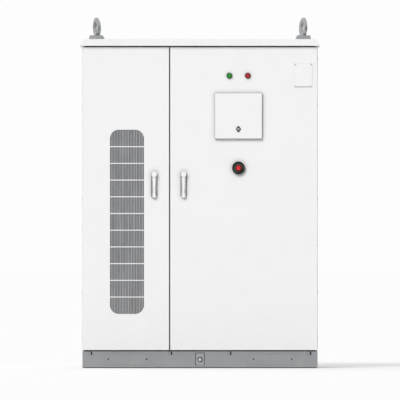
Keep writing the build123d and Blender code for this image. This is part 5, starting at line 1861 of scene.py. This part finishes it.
@dataclass
class DoorShadeStrips:
    """Dark rubber strips that stand in for shade: in the gap between the doors and around the
    display housing's foot.
    """

    shop: Workshop
    gap: tuple[float, float] = (-0.2043, -0.1978)
    depth: tuple[float, float] = (-0.6228, -0.6100)
    reach: tuple[float, float] = (0.128, 2.127)
    flap_x: float = 0.2555
    flap_z: float = 1.6775
    flap_size: tuple[float, float] = (0.313, 0.303)
    flap_corner: float = 0.002
    rim: float = 0.0015
    band: float = 0.006
    height: float = 0.0012
    nose: tuple[float, float] = (0.001, 0.002)
    door: float = -0.625

    def build(self) -> None:
        """Makes both painted shade strips on the right door."""
        palette = self.shop.palette
        # Painted shade: a dark strip just behind the door faces darkens the gap between the doors.
        shade_strip = Shaper("door_edge_seal")
        (left, right), (front, back) = self.gap, self.depth
        corners = (
            (left, front + self.nose[1]),
            (left + self.nose[0], front),
            (right, front),
            (right, back),
            (left, back),
        )
        shade_strip.loft([[Vector((x, y, z)) for x, y in corners] for z in self.reach])
        shade_strip.piece("right_door", Slot.RUBBER, palette[Slot.RUBBER])
        # Painted shade: a dark ring at the flap's foot stands in for the shade around it.
        foot = Shaper("flap_seal")
        frame = facing_front(self.flap_x, self.door, self.flap_z)
        rim, band, high = self.rim, -self.band, self.height
        rings = []
        for grow, height in ((rim, 0.0), (rim, high), (band, high), (band, 0.0)):
            width, tall = (size + 2 * grow for size in self.flap_size)
            outline = rounded_outline(width, tall, self.flap_corner + abs(grow), 4)
            rings.append([frame @ Vector((x, z, height)) for x, z in outline])
        foot.loft(rings, closed=True)
        foot.piece("right_door", Slot.RUBBER, palette[Slot.RUBBER])


@dataclass
class DisplayHousing:
    """Display behind the flap: the cover glass of its screen."""

    shop: Workshop
    x: float = 0.2555
    z: float = 1.6905
    glass: tuple[float, float] = (0.216, 0.156)
    screen_y: float = -0.628
    glass_height: float = 0.0006

    def build(self) -> None:
        """Makes the cover glass over the sunk screen."""
        glass = Shaper("display_glass")
        frame = facing_front(self.x, self.screen_y, self.z)
        levels = ((0.0, 0.0), (0.0, self.glass_height * 0.6), (0.0004, self.glass_height))
        glass.slab(frame, self.glass, 0.004, levels)
        glass.piece("right_door", Slot.GLASS, self.shop.palette[Slot.GLASS])


@dataclass
class FlapLock:
    """Key slot in the turning core of the flap's lock, as painted shade: a flat black slot and
    well, not a hole.
    """

    shop: Workshop
    x: float = 0.2555
    z: float = 1.589
    front: float = -0.653
    slot: tuple[float, float] = (0.0016, 0.0092)
    well: float = 0.0021

    SLOT = ((0.0, -0.0004), (0.0, 0.0001), (0.0002, 0.0002))
    WELL = ((1.0, -0.0004), (1.0, 0.0002), (0.9, 0.0003))

    def build(self) -> None:
        """Makes the black slot and the round well in its middle, flat on the core."""
        key = Shaper("lock_key_slot")
        frame = facing_front(self.x, self.front, self.z)
        key.slab(frame, self.slot, self.slot[0] / 2, self.SLOT)
        key.turned(frame, [(self.well * share, z) for share, z in self.WELL], steps=24)
        key.piece("flap_lock", Slot.BLACK, self.shop.palette[Slot.BLACK])


@dataclass
class AirUnits:
    """Fan guards, coil fins and rear screens of the cooling unit and the converter."""

    shop: Workshop
    x: float = -0.4855
    fans: tuple[float, float] = (0.64, 1.30)
    guard_y: float = -0.5270
    wire: float = 0.0014
    first_radius: float = 0.024
    ring_pitch: float = 0.0165
    rings: int = 9
    spokes: int = 8
    coil_x: tuple[float, float] = (-0.697, -0.253)
    coil_y: tuple[float, float] = (-0.364, -0.320)
    coil_z: tuple[float, float] = (0.43, 0.85)
    fin_pitch: float = 0.0028
    tube_radius: float = 0.005
    tube_rows: int = 12
    screen: tuple[float, float] = (0.400, 0.322)
    screen_y: tuple[float, float] = (0.6165, 0.6228)
    screen_edge: float = 0.0008
    screen_corner: float = 0.004
    fin_gap: tuple[float, float] = (0.004, 0.002)
    fin_half: float = 0.00012
    coil_margin: float = 0.008
    end_plate: float = 0.0015

    SPOKE_ROOT = 0.7
    SPOKE_BEND = ((0.008, 0.0), (0.011, -0.0005), (0.0125, -0.0012))

    def build(self) -> None:
        """Makes the guards, the rear screens and the coil."""
        palette, patterns = self.shop.palette, self.shop.patterns
        steel = palette[Slot.STEEL]
        parts = []
        for z in self.fans:
            feeds = {
                "Centre": (self.x, self.guard_y, z),
                "Rings": self.rings,
                "First_Radius": self.first_radius,
            }
            sizes = {"Ring_Pitch": self.ring_pitch, "Wire_Radius": self.wire}
            parts.append(patterns.rings.grow(steel, **sizes, **feeds))
        Pattern.gather("fan_guard_rings", parts, "cabinet", Slot.STEEL, steel)
        spokes = Shaper("fan_guard_spokes")
        for z in self.fans:
            for spoke in range(self.spokes):
                self._spoke(spokes, z, 2 * math.pi * (spoke + 0.5) / self.spokes)
        spokes.piece("cabinet", Slot.STEEL, steel)
        screens = Shaper("rear_vent_screens")
        depth, edge = self.screen_y[1] - self.screen_y[0], self.screen_edge
        levels = ((edge, 0.0), (0.0, edge), (0.0, depth - edge), (edge, depth))
        for z in self.fans:
            frame = facing_front(self.x, self.screen_y[1], z)
            screens.slab(frame, self.screen, self.screen_corner, levels)
        screens.piece("cabinet", Slot.FILTER, palette[Slot.FILTER])
        self._coil()

    def _spoke(self, shaper: Shaper, z: float, turn: float) -> None:
        """Adds one wire that runs out from the middle and bends back to the shroud's flange.

        Args:
            shaper: What gathers the faces.
            z: Height of the fan's middle.
            turn: The spoke's turn.
        """
        frame = facing_front(self.x, self.guard_y + 2 * self.wire, z)
        frame = frame @ Matrix.Rotation(turn, 4, "Z")
        reach = self.first_radius + self.ring_pitch * (self.rings - 1)
        path = [(self.first_radius * self.SPOKE_ROOT, 0.0)]
        path += [(reach + further, height) for further, height in self.SPOKE_BEND]
        rings = []
        for radius, height in path:
            ring = [frame @ Vector((radius, a, height + b)) for a, b in round_outline(self.wire, 8)]
            rings.append(ring)
        shaper.loft(rings)

    def _coil(self) -> None:
        """Makes the fins with Geometry Nodes, and the tubes and end plates that carry them."""
        palette = self.shop.palette
        fins = palette[Slot.FINS]
        low, high = self.coil_x
        middle_y, middle_z = sum(self.coil_y) / 2, sum(self.coil_z) / 2
        depth, height = self.coil_y[1] - self.coil_y[0], self.coil_z[1] - self.coil_z[0]

        def fin(shaper: Shaper) -> None:
            """Adds one thin fin.

            Args:
                shaper: What gathers the faces.
            """
            wide, tall = depth - self.fin_gap[0], height - self.fin_gap[1]
            square = ((-1, -1), (1, -1), (1, 1), (-1, 1))
            outline = [(y * wide / 2, z * tall / 2) for y, z in square]
            levels = (-self.fin_half, self.fin_half)
            shaper.loft([[Vector((x, y, z)) for y, z in outline] for x in levels])

        count = int((high - low - self.coil_margin) / self.fin_pitch)
        start = ((low + high) / 2 - (count - 1) * self.fin_pitch / 2, middle_y, middle_z)
        feeds = {"Shape": self.shop.shape("coil_fin", fin), "Start": start, "Columns": count}
        grown = self.shop.patterns.grid.grow(fins, Column_Step=(self.fin_pitch, 0.0, 0.0), **feeds)
        made = Pattern.gather("coil_fins", [grown], "cabinet", Slot.FINS, fins)
        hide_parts("condenser_coil")
        carrier = Shaper("coil_tubes")
        for row in range(self.tube_rows):
            z = self.coil_z[0] + height * (row + 0.5) / self.tube_rows
            for y in (middle_y - depth / 4, middle_y + depth / 4):
                ring = [(y + a, z + b) for a, b in round_outline(self.tube_radius, 12)]
                carrier.loft([[Vector((x, py, pz)) for py, pz in ring] for x in (low, high)])
        (front, back), (foot, top) = self.coil_y, self.coil_z
        corners = ((front, foot), (back, foot), (back, top), (front, top))
        for x in (low, high - self.end_plate):
            sides = (0.0, self.end_plate)
            carrier.loft([[Vector((x + t, y, z)) for y, z in corners] for t in sides])
        carrier.piece("cabinet", Slot.ZINC, palette[Slot.ZINC])


@dataclass
class BatteryRack:
    """Fronts of the battery packs: cooling ribs, screws and the collars of the plugs."""

    shop: Workshop
    middle_x: float = 0.25425
    width: float = 0.8175
    front: float = -0.504
    first_z: float = 0.176
    pitch: float = 0.262
    height: float = 0.235
    packs: int = 5
    ribs: int = 15
    rib_pitch: float = 0.024
    rib_height: float = 0.055
    plug_spacing: float = 0.220
    plug_drop: float = 0.0893
    plug_radius: float = 0.016
    plug_gap: float = 0.0004
    screw_inset: float = 0.02
    screw_columns: int = 5
    screw_size: tuple[float, float] = (0.005, 0.0025)
    rib_size: tuple[float, float] = (0.006, 0.06)
    rib_corner: float = 0.003
    rib_rise: float = 0.003

    RIB_CROWN = (0.7, 0.97, 0.004)
    COLLAR = ((0.0205, 0.0), (0.0205, 0.004), (0.0195, 0.005))

    def build(self) -> None:
        """Makes the front details of all the packs."""
        palette, grid = self.shop.palette, self.shop.patterns.grid
        case, steel = palette[Slot.BATTERY], palette[Slot.STEEL]
        levels = {"Rows": self.packs, "Row_Step": (0.0, 0.0, self.pitch)}
        rib = self.shop.shape("pack_rib", self._rib)
        parts = []
        start = (
            self.middle_x - self.rib_pitch * (self.ribs - 1) / 2,
            self.front,
            self.first_z + self.rib_height,
        )
        feeds = {
            "Shape": rib,
            "Start": start,
            "Columns": self.ribs,
            "Column_Step": (self.rib_pitch, 0.0, 0.0),
        }
        parts.append(grid.grow(case, **feeds, **levels))
        Pattern.gather("pack_ribs", parts, "cabinet", Slot.BATTERY, case)
        head = self.shop.screw("pack_screw", facing_front(0, 0, 0), *self.screw_size)
        parts = []
        inset, gaps = self.screw_inset, self.screw_columns - 1
        for z in (inset, self.height - inset):
            start = (self.middle_x - self.width / 2 + inset, self.front, self.first_z + z)
            feeds = {
                "Shape": head,
                "Start": start,
                "Columns": self.screw_columns,
                "Column_Step": ((self.width - 2 * inset) / gaps, 0.0, 0.0),
            }
            parts.append(grid.grow(steel, **feeds, **levels, Loose_Turn=math.tau))
        Pattern.gather("pack_screws", parts, "cabinet", Slot.STEEL, steel)
        self._plug_collars()

    def _rib(self, shaper: Shaper) -> None:
        """Adds one upright cooling rib, rounded at its ends.

        Args:
            shaper: What gathers the faces.
        """
        outline = rounded_outline(*self.rib_size, self.rib_corner, 3)
        frame = facing_front(0, 0, 0)
        rings = [[frame @ Vector((x, z, h)) for x, z in outline] for h in (0.0, self.rib_rise)]
        across, along, top = self.RIB_CROWN
        rings.append([frame @ Vector((x * across, z * along, top)) for x, z in outline])
        shaper.loft(rings)

    def _plug_collars(self) -> None:
        """Adds a coloured collar at the root of each pack's two plugs."""
        bore = self.plug_radius + self.plug_gap
        profile = ((bore, 0.0), *self.COLLAR, (bore, self.COLLAR[-1][1]))
        for side, slot in ((-1, Slot.BLACK), (1, Slot.RED)):
            shaper = Shaper("plug_collars_minus" if side < 0 else "plug_collars_plus")
            for pack in range(self.packs):
                z = self.first_z + pack * self.pitch + self.height - self.plug_drop
                frame = facing_front(self.middle_x + side * self.plug_spacing / 2, self.front, z)
                shaper.turned(frame, profile, steps=32, closed=True)
            shaper.piece("cabinet", slot, self.shop.palette[slot])


@dataclass
class Studio:
    """Pale floor, soft lamps before and behind, and the long-lens camera of the photograph."""

    camera_distance: float = 120.0
    field_width: float = 2.66
    eye_height: float = 1.118
    front_y: float = -0.625
    floor_radius: float = 160.0
    key_from: tuple[float, float, float] = (-0.34, -0.72, 0.61)
    key_strength: float = 2.12
    key_spread: float = 26.0
    back_from: tuple[float, float, float] = (-0.10, 0.55, 0.78)
    back_strength: float = 1.05
    back_spread: float = 50.0
    sky: float = 0.19
    sky_rise: float = 0.50
    sky_left: float = 0.10
    floor_glow: float = 0.285
    flag_height: float = 2.6

    FAR_CLIP = 500.0
    FLOOR_STEPS = 96
    RIGHT_FLAG = ((1.5, -5.0), (3.4, 0.8))
    LEFT_FLAG = ((-2.9, -4.4), (-3.8, 1.0))

    def build(self) -> None:
        """Builds the camera, the lamps, the world, the floor and the grey cards."""
        scene = bpy.context.scene
        scene.view_settings.view_transform = "Standard"
        lens = bpy.data.cameras.new("studio_camera")
        lens.lens = lens.sensor_width * self.camera_distance / self.field_width
        lens.clip_end = self.FAR_CLIP
        camera = bpy.data.objects.new("studio_camera", lens)
        camera.location = (0.0, self.front_y - self.camera_distance, self.eye_height)
        camera.rotation_euler = Euler((math.pi / 2, 0.0, 0.0))
        scene.collection.objects.link(camera)
        scene.camera = camera
        self._lamp("key_light", self.key_from, self.key_strength, self.key_spread)
        self._lamp("back_light", self.back_from, self.back_strength, self.back_spread)
        self._world()
        self._floor()
        self._flag("right_flag", *self.RIGHT_FLAG)
        self._flag("left_flag", *self.LEFT_FLAG)

    @staticmethod
    def _lamp(name: str, way: tuple[float, float, float], strength: float, spread: float) -> None:
        """Adds a distant soft lamp that gloss doesn't show.

        Args:
            name: Its name.
            way: Where it stands, seen from the cabinet.
            strength: Its light.
            spread: Its width in degrees.
        """
        lamp = bpy.data.lights.new(name, "SUN")
        lamp.energy = strength
        lamp.angle = math.radians(spread)
        placed = bpy.data.objects.new(name, lamp)
        placed.rotation_euler = Vector(way).to_track_quat("Z", "Y").to_euler()
        placed.visible_glossy = False
        bpy.context.scene.collection.objects.link(placed)

    @staticmethod
    def _seen_directly(wires: Wiring) -> bpy.types.NodeSocket:
        """Returns 1 for rays from the camera, and for those that a gloss or a glass passes on.

        Args:
            wires: The material's wiring.

        Returns:
            One for a camera ray, else zero.
        """
        rays = wires.node("ShaderNodeLightPath").outputs
        seen = wires.sum("MAXIMUM", rays["Is Camera Ray"], rays["Is Glossy Ray"])
        return wires.sum("MAXIMUM", seen, rays["Is Transmission Ray"])

    def _world(self) -> None:
        """Makes the world: white where it is seen, a soft sky from the upper left as a light."""
        world = bpy.data.worlds.new("studio_world")
        world.use_nodes = True
        world.node_tree.nodes.clear()
        wires = Wiring(world.node_tree)
        way = wires.node("ShaderNodeTexCoord").outputs["Generated"]
        lean = wires.vector("DOT_PRODUCT", way, (-self.sky_left, 0.0, self.sky_rise))
        soft = wires.sum("MAXIMUM", wires.sum("ADD", lean, self.sky), 0.0)
        seen = self._seen_directly(wires)
        unseen = wires.sum("SUBTRACT", 1.0, seen)
        strength = wires.sum("ADD", wires.sum("MULTIPLY", soft, unseen), seen)
        back = wires.node("ShaderNodeBackground", {"Color": tint("FDFDFD"), "Strength": strength})
        wires.node("ShaderNodeOutputWorld", {"Surface": back.outputs[0]})
        bpy.context.scene.world = world

    def _floor(self) -> None:
        """Makes the round floor, lifted towards white where the camera sees it."""
        mesh = bmesh.new()
        steps, radius = self.FLOOR_STEPS, self.floor_radius
        bmesh.ops.create_circle(mesh, cap_ends=True, segments=steps, radius=radius)
        shader = self._staged("studio_floor", mesh, tint("C8C8C8"))
        wires = Wiring(shader.id_data)
        glow = wires.blend(
            self._seen_directly(wires), (0.0, 0.0, 0.0, 1.0), (self.floor_glow,) * 3 + (1.0,)
        )
        wires.feed(shader.inputs["Emission Color"], glow)
        shader.inputs["Emission Strength"].default_value = 1.0

    def _flag(self, name: str, start: Point, end: Point) -> None:
        """Stands a grey card that only gloss shows, as beside polished metal in a studio.

        Args:
            name: Its name.
            start: Its foot's first end on the floor.
            end: Its foot's other end.
        """
        mesh = bmesh.new()
        corners = [(*start, 0.0), (*end, 0.0), (*end, self.flag_height), (*start, self.flag_height)]
        mesh.faces.new([mesh.verts.new(c) for c in corners])
        self._staged(name, mesh, tint("5A5A5C"))
        flag = bpy.data.objects[name]
        for ray in ("camera", "diffuse", "transmission", "volume_scatter", "shadow"):
            setattr(flag, f"visible_{ray}", False)

    @staticmethod
    def _staged(name: str, mesh: bmesh.types.BMesh, colour: tuple) -> bpy.types.Node:
        """Makes a dull piece of the stage and returns its shader.

        Args:
            name: The object's name.
            mesh: Its mesh.
            colour: Its colour.

        Returns:
            The shader.
        """
        data = bpy.data.meshes.new(name)
        mesh.to_mesh(data)
        mesh.free()
        made = bpy.data.objects.new(name, data)
        bpy.context.scene.collection.objects.link(made)
        material = bpy.data.materials.new(name)
        material.use_nodes = True
        material.node_tree.nodes.clear()
        wires = Wiring(material.node_tree)
        feeds = {"Base Color": colour, "Roughness": 0.9, "Specular IOR Level": 0.0}
        shader = wires.node("ShaderNodeBsdfPrincipled", feeds)
        wires.node("ShaderNodeOutputMaterial", {"Surface": shader.outputs[0]})
        data.materials.append(material)
        return shader


def main() -> None:
    """Builds the whole scene around the CAD frame."""
    logging.basicConfig(level=logging.INFO, format="%(name)s: %(message)s")
    for name in list(bpy.data.objects.keys()):
        bpy.data.objects.remove(bpy.data.objects[name])
    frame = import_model()
    shop = Workshop(Palette(Effects()), PatternShop())
    metal = SheetMetal(shop)
    metal.dress(frame)
    assemblies = (
        metal,
        PlinthTrim(shop),
        NamePlate(shop),
        VentGrille(shop),
        SwingHandle(shop, Side.LEFT, -0.305),
        SwingHandle(shop, Side.RIGHT, -0.109),
        EmergencyStop(shop),
        DoorShadeStrips(shop),
        DisplayHousing(shop),
        FlapLock(shop),
        AirUnits(shop),
        BatteryRack(shop),
        Studio(),
    )
    for assembly in assemblies:
        assembly.build()
        log.info("%s done", type(assembly).__name__)
    shop.clear()


if __name__ == "__main__":
    main()
